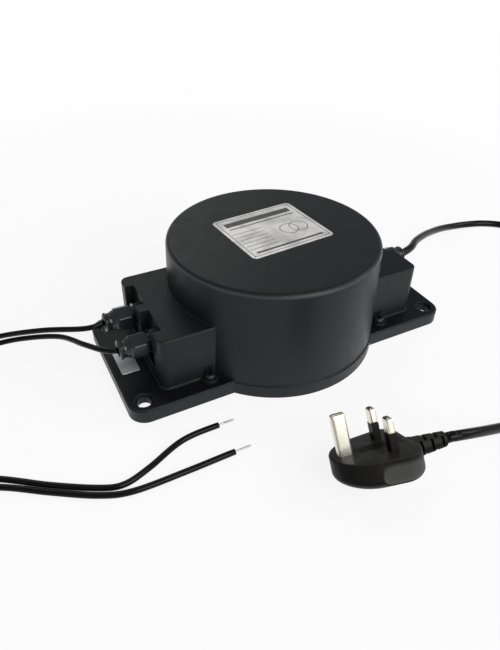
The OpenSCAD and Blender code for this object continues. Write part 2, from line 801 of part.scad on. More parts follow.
// Directions along a line of points, with the two end directions given
function headings(line, first, last) = [
    for (i = [0:len(line) - 1])
        i == 0 ? unit(first) : i == len(line) - 1 ? unit(last) : unit(line[i + 1] - line[i - 1])
];

function ring(p, along, r, sides) =
    let (side = unit(cross(along, [0, 0, 1])), up = cross(side, along))
    [for (k = [0:sides - 1]) p + r * (cos(k * turn / sides) * side + sin(k * turn / sides) * up)];

module tube(line, first, last, r, sides) {
    n = len(line);
    ways = headings(line, first, last);
    rings = [for (i = [0:n - 1]) each ring(line[i], ways[i], r, sides)];
    walls = [
        for (i = [0:n - 2], k = [0:sides - 1])
            let (a = i * sides + k, b = i * sides + (k + 1) % sides)
            each [[a, b, b + sides], [a, b + sides, a + sides]]
    ];
    caps = [
        for (k = [1:sides - 2])
            each [[0, k + 1, k], [(n - 1) * sides, (n - 1) * sides + k, (n - 1) * sides + k + 1]]
    ];
    polyhedron(rings, concat(walls, caps));
}

module rear_lead() {
    color([0.05, 0.05, 0.05]) tube(smooth(rear_route, 2), [-1, 0, 0], [1, 0, 0], lv_d / 2, 8);
}

module front_lead() {
    color([0.05, 0.05, 0.05]) tube(smooth(front_route, 2), [-1, 0, 0], [1, 0, 0], lv_d / 2, 8);
}

module strands(route) {
    end = route[len(route) - 2];
    color([0.75, 0.76, 0.78]) translate(end) rotate([0, quarter, 0])
        cylinder(h = strand_l, d1 = strand_d, d2 = strand_d * strand_tip_share, $fn = 24);
}

module rear_strands() { strands(rear_route); }

module front_strands() { strands(front_route); }

module supply_cable() {
    color([0.05, 0.05, 0.05]) tube(smooth(supply_route, 1), [1, 0, 0], [0, -1, 0], mains_d / 2, 8);
}

module plug_cable() {
    color([0.05, 0.05, 0.05]) tube(smooth(plug_route, 1), relief_way(), [1, 0, 0], mains_d / 2, 8);
}

// The coil runs in on one layer, climbs as its spiral reverses and runs out on the next.
// u counts turns from the point where it reverses.
function coil_r(u) = coil_in_r + coil_pitch * abs(u);

function coil_point(u) = [
    coil_at[0] + coil_r(u) * cos(half - turn * u),
    coil_at[1] + coil_r(u) * sin(half - turn * u),
    coil_z + coil_pitch * min(1, max(0, u / coil_climb_turns + 1 / 2))
];

function coil_line() = concat(
    [coil_start],
    [for (k = [0:(coil_turns_in + coil_turns_out) * coil_steps])
        coil_point(k / coil_steps - coil_turns_in)],
    [coil_end]
);

// Least gap of the coil to itself, between points more than half a turn apart
function coil_gap(line) = min([
    for (i = [0:len(line) - 1], j = [i + coil_steps / 2:len(line) - 1]) norm(line[i] - line[j])
]) - mains_d;

module mains_coil() {
    echo(least_gap_of_coil_to_itself = coil_gap(coil_line()));
    color([0.05, 0.05, 0.05]) tube(coil_line(), [0, -1, 0], [-1, 0, 0], mains_d / 2, coil_sides);
}

// Strap round the bundle where the spiral has gone a quarter turn past its reversal
module coil_tie() {
    lo = coil_r(tie_u) - mains_d / 2 - clear;
    hi = coil_r(tie_u + 2) + mains_d / 2 + clear;
    top = coil_z + coil_pitch + mains_d / 2 + clear;
    room = [hi - lo, tie_w + 2 * over, top - tie_t];
    color([0.1, 0.1, 0.1]) translate([coil_at[0], coil_at[1], 0])
        rotate(half - turn * tie_u) difference() {
            union() {
                translate([lo - tie_t, -tie_w / 2, 0])
                    cube([hi - lo + 2 * tie_t, tie_w, top + tie_t]);
                translate([hi + tie_t, -tie_w / 2 - over, top / 2])
                    cube([tie_head, tie_w + 2 * over, tie_head]);
            }
            translate([lo, -tie_w / 2 - over, tie_t]) cube(room);
        }
}

// Plug, in its own frame: pins up, cable towards +X, origin between line and neutral pins

module in_plug() { translate(plug_at) rotate(plug_tilt) children(); }

function about_x(v, a) = [v[0], v[1] * cos(a) - v[2] * sin(a), v[1] * sin(a) + v[2] * cos(a)];

function about_y(v, a) = [v[0] * cos(a) + v[2] * sin(a), v[1], v[2] * cos(a) - v[0] * sin(a)];

function about_z(v, a) = [v[0] * cos(a) - v[1] * sin(a), v[0] * sin(a) + v[1] * cos(a), v[2]];

function tilted(v) = about_z(about_y(about_x(v, plug_tilt[0]), plug_tilt[1]), plug_tilt[2]);

function relief_at(l) = plug_at + tilted([plug_reach + l, 0, neck_z]);

function relief_way() = tilted([1, 0, 0]);

module plug_body() {
    color([0.08, 0.08, 0.09]) in_plug() difference() {
        union() {
            hull() for (s = bowl, c = plug_rounds)
                translate([c[0] * s[0], c[1] * s[0], s[1]])
                    cylinder(h = plug_slice_t, r = c[2] * s[0], $fn = 48);
            translate([0, 0, neck_z]) rotate([0, quarter, 0])
                cylinder(h = plug_reach + neck_l, r = neck_r);
        }
        for (y = [-1, 1]) translate([0, y * pin_pitch / 2, 0])
            cube([pin_t, pin_w, 2 * pin_root], center = true);
        translate([-earth_pitch, 0, 0]) cube([earth_w, pin_t, 2 * pin_root], center = true);
        translate([carrier_x, 0, 0])
            cube([carrier_l, carrier_w, 2 * carrier_d] + 2 * clear * [1, 1, 1], center = true);
        for (y = [-1, 1]) hull() for (x = [-1, 1])
            translate([grip_x + x * (grip_l / 2 - grip_r / 2), y * (plug_half_w + grip_r - grip_d), grip_z])
                sphere(grip_r, $fn = 32);
    }
}

module blade(w, t, l) {
    translate([-t / 2, -w / 2, -pin_root]) cube([t, w, pin_root + l - pin_chamfer]);
    translate([0, 0, l - pin_chamfer]) linear_extrude(pin_chamfer, scale = 1 - pin_chamfer / t)
        square([t, w], center = true);
}

module earth_pin() {
    color([0.8, 0.78, 0.7]) in_plug() translate([-earth_pitch, 0, 0]) rotate(quarter)
        blade(earth_w, pin_t, earth_l);
}

// Line or neutral pin, necked under its sleeve
module sleeved_pin() {
    difference() {
        blade(pin_w, pin_t, pin_l);
        sleeve();
    }
}

module sleeve() {
    difference() {
        translate([-pin_t / 2, -pin_w / 2, 0]) cube([pin_t, pin_w, sleeve_l]);
        translate([pin_neck - pin_t / 2, pin_neck - pin_w / 2, -over])
            cube([pin_t - 2 * pin_neck, pin_w - 2 * pin_neck, sleeve_l + 2 * over]);
    }
}

module line_pin() {
    color([0.8, 0.78, 0.7]) in_plug() translate([0, pin_pitch / 2, 0]) sleeved_pin();
}

module neutral_pin() {
    color([0.8, 0.78, 0.7]) in_plug() translate([0, -pin_pitch / 2, 0]) sleeved_pin();
}

module pin_sleeves() {
    color([0.06, 0.06, 0.06]) in_plug() for (y = [-1, 1])
        translate([0, y * pin_pitch / 2, 0]) sleeve();
}

module strain_relief() {
    step = relief_l / (relief_grooves + 1);
    function outer_r(x) = relief_r - (relief_r - relief_tip_r) * x / relief_l;
    color([0.07, 0.07, 0.08]) in_plug() translate([plug_reach + neck_l, 0, neck_z])
        rotate([0, quarter, 0]) difference() {
            cylinder(h = relief_l, r1 = relief_r, r2 = relief_tip_r);
            for (k = [1:relief_grooves]) translate([0, 0, k * step]) difference() {
                cylinder(h = relief_groove_w, r = relief_r + over, center = true);
                cylinder(h = 2 * relief_groove_w, r = outer_r(k * step) - relief_groove_d, center = true);
            }
        }
}

module fuse_carrier() {
    color([0.1, 0.1, 0.11]) in_plug() translate([carrier_x, 0, 0]) difference() {
        translate([-carrier_l / 2, -carrier_w / 2, -carrier_d]) cube([carrier_l, carrier_w, carrier_d]);
        translate([-fuse_l / 2, 0, fuse_z]) rotate([0, quarter, 0]) cylinder(h = fuse_l, d = fuse_d);
        translate([-fuse_l / 2, -fuse_d / 2, -carrier_d - over])
            cube([fuse_l, fuse_d, carrier_d + fuse_z + over]);
        // Pry slot at the cable end
        translate([carrier_l / 2, 0, 0]) cube([2 * slot_d, carrier_w / 2, 2 * slot_w], center = true);
    }
}

module fuse() {
    color([0.85, 0.82, 0.75]) in_plug() translate([carrier_x, 0, fuse_z]) rotate([0, quarter, 0]) {
        cylinder(h = fuse_l - 2 * fuse_cap_l, d = fuse_d - 2 * fuse_cap_t, center = true);
        for (s = [-1, 1]) translate([0, 0, s * (fuse_l - fuse_cap_l) / 2])
            cylinder(h = fuse_cap_l, d = fuse_d, center = true);
    }
}

// Bare plates where the real ones carry print

module top_label() {
    color([0.78, 0.77, 0.75])
        translate([top_label_at[0], top_label_at[1], drum_top_z]) rotate(top_label_turn)
            linear_extrude(label_t) round_rect(top_label_l, top_label_w, label_corner_r);
}

module small_label() {
    color([0.65, 0.67, 0.7])
        translate([-(wing_x + lip_w + plate_l / 2) / 2, small_label_y, plate_h])
            linear_extrude(label_t) round_rect(small_label_w, small_label_l, small_corner_r);
}

base_plate();
gasket();
cover();
cover_screws();
potting_compound();
toroid_core();
core_wrap();
primary_winding();
barrier_tape();
secondary_winding();
outer_tape();
thermal_cutout();
primary_leads();
secondary_leads();
mains_splices();
lv_splices();
gland_washers();
gland_lock_nuts();
rear_gland_body();
front_gland_body();
mains_gland_body();
rear_gland_seal();
front_gland_seal();
mains_gland_seal();
rear_gland_cap();
front_gland_cap();
mains_gland_cap();
lv_tails();
mains_tail();
rear_lead();
front_lead();
rear_strands();
front_strands();
supply_cable();
mains_coil();
coil_tie();
plug_cable();
strain_relief();
plug_body();
earth_pin();
line_pin();
neutral_pin();
pin_sleeves();
fuse_carrier();
fuse();
top_label();
small_label();
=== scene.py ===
import json
import math
import bpy
import numpy as np
from mathutils import Matrix


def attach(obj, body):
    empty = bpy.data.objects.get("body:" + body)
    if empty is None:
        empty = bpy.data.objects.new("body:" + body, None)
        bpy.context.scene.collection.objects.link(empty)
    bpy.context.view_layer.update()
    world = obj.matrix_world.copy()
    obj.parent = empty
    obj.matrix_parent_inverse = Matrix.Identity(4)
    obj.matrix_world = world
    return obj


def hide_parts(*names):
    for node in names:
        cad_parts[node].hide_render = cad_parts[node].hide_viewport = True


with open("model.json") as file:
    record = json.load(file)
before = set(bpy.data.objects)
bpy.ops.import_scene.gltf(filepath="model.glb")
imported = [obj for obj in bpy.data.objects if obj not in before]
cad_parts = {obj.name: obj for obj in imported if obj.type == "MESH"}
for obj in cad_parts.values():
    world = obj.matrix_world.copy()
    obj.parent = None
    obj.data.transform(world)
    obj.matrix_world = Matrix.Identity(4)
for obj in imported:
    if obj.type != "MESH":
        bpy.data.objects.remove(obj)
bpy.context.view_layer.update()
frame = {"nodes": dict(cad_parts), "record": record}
nodes = frame["nodes"]
print("frame loaded:", len(nodes), "nodes")

mm = 0.001
fullTurn = 2 * math.pi
rightward = (1, 0, 0)
leftward = (-1, 0, 0)
chartName = "along"     # the name of every new piece's own map
scene = bpy.context.scene
scene.view_settings.view_transform = "Standard"


def matrixOf(side, up, back, place):
    # an object's matrix from its three axes and its place
    turn = np.eye(4)
    turn[:3, 0], turn[:3, 1], turn[:3, 2], turn[:3, 3] = side, up, back, place
    return Matrix(turn.tolist())


# Camera

camera = {
    "place": (-0.1641, -0.2755, 0.2523),
    "yaw": 28.259,      # degrees from +Y towards +X
    "pitch": 38.149,    # degrees down
    "roll": 1.365,
    "focalPixels": 557.03,
    "picture": (500, 650),
    "sensor": 36.0,
    "clip": (0.01, 20.0),
}


def placeCamera(facts):
    # forward from yaw and pitch; right is level; then both turn by the roll
    yaw, pitch, roll = (math.radians(facts[k]) for k in ("yaw", "pitch", "roll"))
    forward = np.array([math.sin(yaw) * math.cos(pitch), math.cos(yaw) * math.cos(pitch), -math.sin(pitch)])
    right = np.array([math.cos(yaw), -math.sin(yaw), 0.0])
    up = np.cross(right, forward)
    right, up = right * math.cos(roll) + up * math.sin(roll), up * math.cos(roll) - right * math.sin(roll)
    data = bpy.data.cameras.new("camera")
    data.sensor_width = facts["sensor"]
    data.lens = facts["focalPixels"] * facts["sensor"] / facts["picture"][1]
    data.clip_start, data.clip_end = facts["clip"]
    eye = bpy.data.objects.new("camera", data)
    eye.matrix_world = matrixOf(right, up, -forward, facts["place"])
    scene.collection.objects.link(eye)
    scene.camera = eye


placeCamera(camera)
print("camera placed")


# Materials

def startMaterial(name, color, roughness, metallic=0.0, specular=0.5, coat=0.0, coatRoughness=0.1):
    material = bpy.data.materials.new(name)
    material.use_nodes = True
    tree = material.node_tree
    shader = tree.nodes["Principled BSDF"]
    shader.inputs["Base Color"].default_value = (*color, 1.0)
    shader.inputs["Roughness"].default_value = roughness
    shader.inputs["Metallic"].default_value = metallic
    shader.inputs["Specular IOR Level"].default_value = specular
    shader.inputs["Coat Weight"].default_value = coat
    shader.inputs["Coat Roughness"].default_value = coatRoughness
    material.diffuse_color = (*color, 1.0)
    return material, tree, shader


def addNode(tree, kind, settings=None, **inputs):
    item = tree.nodes.new(kind)
    for key, value in (settings or {}).items():
        setattr(item, key, value)
    for key, value in inputs.items():
        item.inputs[key.replace("_", " ")].default_value = value
    return item


def objectPlace(tree):
    return addNode(tree, "ShaderNodeTexCoord").outputs["Object"]


def ownChart(tree):
    return addNode(tree, "ShaderNodeUVMap", {"uv_map": chartName}).outputs["UV"]


def partsOf(tree, vector):
    item = addNode(tree, "ShaderNodeSeparateXYZ")
    tree.links.new(vector, item.inputs["Vector"])
    return item.outputs


def stretched(tree, vector, scale):
    item = addNode(tree, "ShaderNodeMapping", Scale=scale)
    tree.links.new(vector, item.inputs["Vector"])
    return item.outputs["Vector"]


def noiseOf(tree, place, size, detail=3.0, rough=0.55):
    # noise whose blotches are about size metres across
    item = addNode(tree, "ShaderNodeTexNoise", Scale=1.0 / size, Detail=detail, Roughness=rough)
    tree.links.new(place, item.inputs["Vector"])
    return item.outputs["Fac"]


def spread(tree, value, low, high, fromLow=0.3, fromHigh=0.7):
    # the value's useful range laid over low to high; what a noise gives lies mostly between 0.3 and 0.7
    item = addNode(tree, "ShaderNodeMapRange", From_Min=fromLow, From_Max=fromHigh, To_Min=low, To_Max=high)
    tree.links.new(value, item.inputs["Value"])
    return item.outputs["Result"]


def mixColor(tree, fac, first, second):
    # first and second are colours or sockets
    item = addNode(tree, "ShaderNodeMix", {"data_type": "RGBA"})
    tree.links.new(fac, item.inputs[0])
    for source, socket in ((first, item.inputs[6]), (second, item.inputs[7])):
        if isinstance(source, tuple):
            socket.default_value = (*source, 1.0)
        else:
            tree.links.new(source, socket)
    return item.outputs[2]


def calc(tree, operation, first, second=0.0):
    # first and second are floats or sockets
    item = addNode(tree, "ShaderNodeMath", {"operation": operation})
    for source, socket in ((first, item.inputs[0]), (second, item.inputs[1])):
        if isinstance(source, float):
            socket.default_value = source
        else:
            tree.links.new(source, socket)
    return item.outputs["Value"]


def product(tree, first, *others):
    for other in others:
        first = calc(tree, "MULTIPLY", first, other)
    return first


def largest(tree, first, *others):
    for other in others:
        first = calc(tree, "MAXIMUM", first, other)
    return first


def less(tree, first, second):
    return calc(tree, "SUBTRACT", first, second)


def bandOf(tree, value, middle, half, soft):
    # 1 where value lies within half of middle, fading over soft
    away = calc(tree, "ABSOLUTE", less(tree, value, middle))
    return spread(tree, away, 1.0, 0.0, half - soft, half + soft)


def bumpFrom(tree, shader, height, depth, under=None):
    # depth is the height of the relief in metres
    item = addNode(tree, "ShaderNodeBump", Strength=1.0, Distance=depth)
    tree.links.new(height, item.inputs["Height"])
    if under is not None:
        tree.links.new(under, item.inputs["Normal"])
    tree.links.new(item.outputs["Normal"], shader.inputs["Normal"])


bevel = {"samples": 6, "leanFrom": (0.72, 0.98)}


def roundedEdges(tree, radius):
    # normals as if each edge were rounded, and how far they lean from the flat face's own
    soft = addNode(tree, "ShaderNodeBevel", {"samples": bevel["samples"]}, Radius=radius)
    flat = addNode(tree, "ShaderNodeNewGeometry")
    lean = addNode(tree, "ShaderNodeVectorMath", {"operation": "DOT_PRODUCT"})
    tree.links.new(soft.outputs["Normal"], lean.inputs[0])
    tree.links.new(flat.outputs["Normal"], lean.inputs[1])
    return soft.outputs["Normal"], spread(tree, lean.outputs["Value"], 1.0, 0.0, *bevel["leanFrom"])


mouldedPlastic = {
    # rise: heights between which low, a painted shade on upward faces, gives way to painted light; edgeColor
    # is rubbed wear with a painted highlight; grain, grainDepth and edge are in millimetres
    "housing": {"low": (0.0042, 0.0056, 0.0064), "color": (0.0098, 0.0142, 0.0164),
                "dustAndPaintedLight": (0.0068, 0.0106, 0.0102), "edgeColor": (0.085, 0.092, 0.1),
                "rise": (0.035, 0.075), "roughness": (0.35, 0.45), "specular": 0.25,
                "grain": 0.6, "grainDepth": 0.075, "edge": 0.7, "edgeLight": 1.0, "rim": 0.6},
    "gland": {"low": (0.014, 0.016, 0.019), "color": (0.015, 0.0172, 0.02),
              "dustAndPaintedLight": (0.019, 0.021, 0.024), "edgeColor": (0.07, 0.075, 0.085),
              "rise": (0.0, 0.08), "roughness": (0.17, 0.27), "specular": 0.5,
              "grain": 0.35, "grainDepth": 0.012, "edge": 0.3, "edgeLight": 0.5, "rim": 0.0},
    "plug": {"low": (0.002, 0.002, 0.0024), "color": (0.0024, 0.0024, 0.0028),
             "dustAndPaintedLight": (0.032, 0.031, 0.028), "edgeColor": (0.066, 0.067, 0.063),
             "rise": (0.0, 0.02), "roughness": (0.3, 0.42), "specular": 0.06,
             "grain": 0.3, "grainDepth": 0.012, "edge": 0.3, "edgeLight": 0.5, "rim": 0.0},
    # what all three share: sizes of the noises in metres, and the ranges that they are laid over
    "blotch": 0.035, "dustAndPaintedLightShare": (0.78, 1.0), "wearSize": 0.01, "wear": (0.55, 1.0),
    "upFrom": (0.2, 0.95), "rimBand": (0.42, 0.17, 0.15), "dull": 0.4,
    "polishSize": 0.008, "polish": 0.1, "reliefHeight": 0.3,
}


def makePlastic(name, facts, relief=None):
    # moulded plastic: fine grain, edges rounded and rubbed lighter, with a painted highlight on edges and
    # large roundings; what faces up gets painted shade, darker and duller, low down and painted light high up
    f = mouldedPlastic
    low, high = facts["roughness"]
    material, tree, shader = startMaterial(name + "Plastic", facts["color"], high, specular=facts["specular"])
    place = objectPlace(tree)
    normal, edge = roundedEdges(tree, facts["edge"] * mm)
    wear = spread(tree, noiseOf(tree, place, f["wearSize"]), *f["wear"])
    # edges rubbed lighter, together with a painted highlight along them
    wearAndHighlight = product(tree, edge, wear, facts["edgeLight"])
    facing = partsOf(tree, addNode(tree, "ShaderNodeNewGeometry").outputs["Normal"])["Z"]
    rise = spread(tree, partsOf(tree, place)["Z"], 0.0, 1.0, *facts["rise"])
    up = spread(tree, facing, 0.0, 1.0, *f["upFrom"])
    # large roundings, whose faces lean between level and upright, get a painted highlight
    rim = product(tree, bandOf(tree, facing, *f["rimBand"]), facts["rim"], rise)
    wearAndHighlight = largest(tree, wearAndHighlight, rim)
    # painted shade: upward faces low down take the darker low colour and reflect less
    paintedLowShade = product(tree, up, less(tree, 1.0, rise))
    gloss = less(tree, 1.0, product(tree, paintedLowShade, f["dull"]))
    tree.links.new(product(tree, gloss, facts["specular"]), shader.inputs["Specular IOR Level"])
    tone = mixColor(tree, paintedLowShade, facts["color"], facts["low"])
    # painted light: upward faces high up are lighter, in blotches
    blotch = noiseOf(tree, place, f["blotch"], detail=4.0)
    paintedTopLight = product(tree, up, rise, spread(tree, blotch, *f["dustAndPaintedLightShare"]))
    tone = mixColor(tree, paintedTopLight, tone, facts["dustAndPaintedLight"])
    speck = noiseOf(tree, place, facts["grain"] * mm, detail=2.0)
    depth = facts["grainDepth"] * mm
    if relief:
        # the grain keeps its own depth on the higher relief
        height, light = relief(tree)
        tone = mixColor(tree, light, tone, facts["edgeColor"])
        reliefDepth = f["reliefHeight"] * mm
        speck = calc(tree, "ADD", product(tree, speck, depth / reliefDepth), height)
        depth = reliefDepth
    # rubbed edges and the painted highlights on edges and roundings take the lighter edge colour
    tone = mixColor(tree, wearAndHighlight, tone, facts["edgeColor"])
    tree.links.new(tone, shader.inputs["Base Color"])
    rough = spread(tree, noiseOf(tree, place, f["polishSize"], detail=5.0), low, high)
    tree.links.new(less(tree, rough, product(tree, wearAndHighlight, f["polish"])), shader.inputs["Roughness"])
    bumpFrom(tree, shader, speck, depth, normal)
    return material


sheath = {
    "color": (0.003, 0.003, 0.0032), "dustAndPaintedLight": (0.006, 0.006, 0.0065), "dustAndPaintedLightShare": (0.0, 0.5),
    "roughness": (0.18, 0.28), "specular": 0.11, "coat": 0.1, "coatRoughness": 0.06,
    "streaks": (7.0, 9.0, 1.0), "streakSize": 1.0, "speckSize": 0.0007, "speckShare": 0.12,
    "patchSize": 0.02, "depth": 0.02,
}


def makeSheath(name, facts):
    # cable sheath: streaks run along the piece's own map, whose u is metres along it
    material, tree, shader = startMaterial(name, facts["color"], facts["roughness"][1],
                                           specular=facts["specular"], coat=facts["coat"],
                                           coatRoughness=facts["coatRoughness"])
    place = objectPlace(tree)
    streak = noiseOf(tree, stretched(tree, ownChart(tree), facts["streaks"]), facts["streakSize"], detail=2.0)
    speck = noiseOf(tree, place, facts["speckSize"], detail=2.0)
    patch = spread(tree, noiseOf(tree, place, facts["patchSize"]), *facts["dustAndPaintedLightShare"])
    tree.links.new(mixColor(tree, patch, facts["color"], facts["dustAndPaintedLight"]), shader.inputs["Base Color"])
    tree.links.new(spread(tree, streak, *facts["roughness"]), shader.inputs["Roughness"])
    height = calc(tree, "ADD", streak, product(tree, speck, facts["speckShare"]))
    bumpFrom(tree, shader, height, facts["depth"] * mm)
    return material


cloudy = {
    # size of the clouds in metres and how dark they are, for metal and for plain pieces; then the plain
    # pieces' polish, and the windings' wires and gaps
    "metalSize": 0.006, "metalShade": 0.82, "plainSize": 0.012, "plainShade": 0.75,
    "polishSize": 0.004, "polish": (-0.06, 0.08),
    "wireSize": 0.003, "wireRoughness": (0.28, 0.42), "gapShade": 0.45,
}


def shaded(color, share):
    return tuple(c * share for c in color)


def makeMetal(name, color, roughness, scratch=0.0004, brushed=None, second=None, depth=0.01):
    # plated or drawn metal: fine scratches, along one axis if brushed, and a cloudy finish
    material, tree, shader = startMaterial(name, color, sum(roughness) / 2, metallic=1.0)
    place = objectPlace(tree)
    lines = noiseOf(tree, stretched(tree, place, brushed) if brushed else place, scratch)
    cloud = spread(tree, noiseOf(tree, place, cloudy["metalSize"], detail=4.0), 0.0, 1.0)
    tone = mixColor(tree, cloud, color, second or shaded(color, cloudy["metalShade"]))
    tree.links.new(tone, shader.inputs["Base Color"])
    tree.links.new(spread(tree, lines, *roughness), shader.inputs["Roughness"])
    bumpFrom(tree, shader, lines, depth * mm)
    return material


def makePlain(name, color, roughness, grain=0.001, depth=0.03, coat=0.0, metallic=0.0):
    # the sealed-in and rubber pieces: even colour with a little cloud and grain
    material, tree, shader = startMaterial(name, color, roughness, metallic=metallic, coat=coat)
    place = objectPlace(tree)
    cloud = spread(tree, noiseOf(tree, place, cloudy["plainSize"], detail=4.0), 0.0, 1.0)
    tone = mixColor(tree, cloud, color, shaded(color, cloudy["plainShade"]))
    tree.links.new(tone, shader.inputs["Base Color"])
    low, high = (roughness + v for v in cloudy["polish"])
    polish = noiseOf(tree, place, cloudy["polishSize"], detail=4.0)
    tree.links.new(spread(tree, polish, low, high), shader.inputs["Roughness"])
    bumpFrom(tree, shader, noiseOf(tree, place, grain), depth * mm)
    return material


def makeWinding(name, color, pitch, depth=0.25, metallic=0.6):
    # turns of wire or tape across the toroid's section: bands that follow the angle about Z
    roughness = cloudy["wireRoughness"]
    material, tree, shader = startMaterial(name, color, sum(roughness) / 2, metallic=metallic)
    place = objectPlace(tree)
    parts = partsOf(tree, place)
    angle = calc(tree, "ARCTAN2", parts["Y"], parts["X"])
    wave = calc(tree, "ABSOLUTE", calc(tree, "SINE", product(tree, angle, math.pi / pitch)))
    tone = mixColor(tree, wave, shaded(color, cloudy["gapShade"]), color)
    tree.links.new(tone, shader.inputs["Base Color"])
    polish = noiseOf(tree, place, cloudy["wireSize"])
    tree.links.new(spread(tree, polish, *roughness), shader.inputs["Roughness"])
    bumpFrom(tree, shader, wave, depth * mm)
    return material


housingPlastic = makePlastic("housing", mouldedPlastic["housing"])
glandPlastic = makePlastic("gland", mouldedPlastic["gland"])
plugPlastic = makePlastic("plug", mouldedPlastic["plug"])
cableSheath = makeSheath("cableSheath", sheath)
tinnedWire = makeMetal("tinnedWire", (0.62, 0.62, 0.63), (0.25, 0.42))
platedBrass = makeMetal("platedBrass", (0.84, 0.81, 0.7), (0.26, 0.34), second=(0.79, 0.75, 0.62),
                        depth=0.0006)
blackScrew = makeMetal("blackScrew", (0.055, 0.057, 0.06), (0.5, 0.62))
sealRubber = makePlain("sealRubber", (0.02, 0.02, 0.02), 0.6, grain=0.0006)
labelFilm = makeMetal("labelFilm", (0.5, 0.515, 0.54), (0.34, 0.5), scratch=0.0012, brushed=(1.0, 14.0, 1.0))

filmPrint = {
    # places on the film's own map, 0 to 1 both ways: each bar is its middle and half its width
    "line": 0.0045, "soft": 0.0012, "page": (0.5, 0.41), "column": (0.235, 0.175),
    "head": (0.83, 0.05), "under": (0.72, 0.0099), "foot": (0.1, 0.018), "border": (0.462, 0.00405),
    "ruled": (0.19, 0.27, 0.35, 0.43, 0.51, 0.59), "rings": ((0.66, 0.4), (0.78, 0.4)), "ringRadius": 0.1,
    "aspect": 53.0 / 62.0,
    "ink": (0.03, 0.03, 0.035), "silver": (0.86, 0.85, 0.83), "tarnish": (0.54, 0.54, 0.53),
    "wornSize": 0.0016, "wearAndHighlight": (0.86, 1.0), "cloudSize": 0.016, "cloudFrom": (0.4, 0.68),
    "brushed": (1.0, 16.0, 1.0), "brushSize": 0.0012, "roughness": (0.42, 0.56), "depth": 0.01,
    "metallic": 0.45, "inkMetallic": 0.03,
}


def makePrintedFilm():
    # silver film with plain printing on its own map: a border, bars, ruled lines and two linked rings
    f = filmPrint
    material, tree, shader = startMaterial("printedFilm", f["silver"], f["roughness"][0],
                                           metallic=f["metallic"])
    parts = partsOf(tree, ownChart(tree))
    u, v = parts["X"], parts["Y"]
    soft = f["soft"]
    page = bandOf(tree, u, *f["page"], soft)
    bars = [product(tree, bandOf(tree, v, *f[k], soft), page) for k in ("head", "under", "foot")]
    rules = largest(tree, *[bandOf(tree, v, at, f["line"], soft) for at in f["ruled"]])
    rules = product(tree, rules, bandOf(tree, u, *f["column"], soft))
    rings = []
    for middleU, middleV in f["rings"]:
        across = less(tree, u, middleU)
        along = product(tree, less(tree, v, middleV), f["aspect"])
        far = calc(tree, "ADD", product(tree, across, across), product(tree, along, along))
        rings.append(bandOf(tree, calc(tree, "SQRT", far), f["ringRadius"], f["line"], soft))
    away = [calc(tree, "ABSOLUTE", less(tree, k, 0.5)) for k in (u, v)]
    border = bandOf(tree, largest(tree, *away), *f["border"], soft)
    place = objectPlace(tree)
    wearAndHighlight = spread(tree, noiseOf(tree, place, f["wornSize"], detail=4.0), *f["wearAndHighlight"])
    ink = product(tree, largest(tree, *bars, rules, *rings, border), wearAndHighlight)
    cloud = spread(tree, noiseOf(tree, place, f["cloudSize"]), 0.0, 1.0, *f["cloudFrom"])
    silver = mixColor(tree, cloud, f["silver"], f["tarnish"])
    tree.links.new(mixColor(tree, ink, silver, f["ink"]), shader.inputs["Base Color"])
    metallic = less(tree, f["metallic"], product(tree, ink, f["metallic"] - f["inkMetallic"]))
    tree.links.new(metallic, shader.inputs["Metallic"])
    brush = noiseOf(tree, stretched(tree, place, f["brushed"]), f["brushSize"])
    tree.links.new(spread(tree, brush, *f["roughness"]), shader.inputs["Roughness"])
    bumpFrom(tree, shader, brush, f["depth"] * mm)
    return material


plugChart = {
    # the shell's map: millimetres times scale, from middle; on its sides, which lie below faceEnd, gripAt and
    # on tells how deep the finger recess is pressed
    "scale": 0.1, "middle": 0.5, "gripAt": 9.0, "faceEnd": -0.2, "gripFrom": (9.15, 9.45), "gripLight": 0.95,
    # the raised lines on its face, in millimetres
    "slope": 0.8, "pitch": 2.4, "waveFrom": (0.35, 0.75), "lineLight": 0.5,
    "acrossBand": (9.4, 4.0, 0.2), "slopeBand": (-4.2, 6.6, 0.3),
}


def faceLines(tree):
    # height and lightness of the slanted lines on both sides of the plug's face, and of its finger recesses
    f = plugChart
    parts = partsOf(tree, ownChart(tree))
    x, y = (product(tree, less(tree, parts[k], f["middle"]), 1.0 / f["scale"]) for k in ("X", "Y"))
    y = calc(tree, "ABSOLUTE", y)
    walk = calc(tree, "ADD", x, product(tree, y, f["slope"]))
    wave = calc(tree, "SINE", product(tree, walk, fullTurn / f["pitch"]))
    area = product(tree, bandOf(tree, y, *f["acrossBand"]), bandOf(tree, walk, *f["slopeBand"]))
    ridge = product(tree, spread(tree, wave, 0.0, 1.0, *f["waveFrom"]), area)
    grip = spread(tree, parts["Y"], 0.0, f["gripLight"], *f["gripFrom"])
    return ridge, largest(tree, product(tree, ridge, f["lineLight"]), grip)


printedFilm = makePrintedFilm()
plugShellPlastic = makePlastic("plugShell", mouldedPlastic["plug"], faceLines)
print("main materials made")

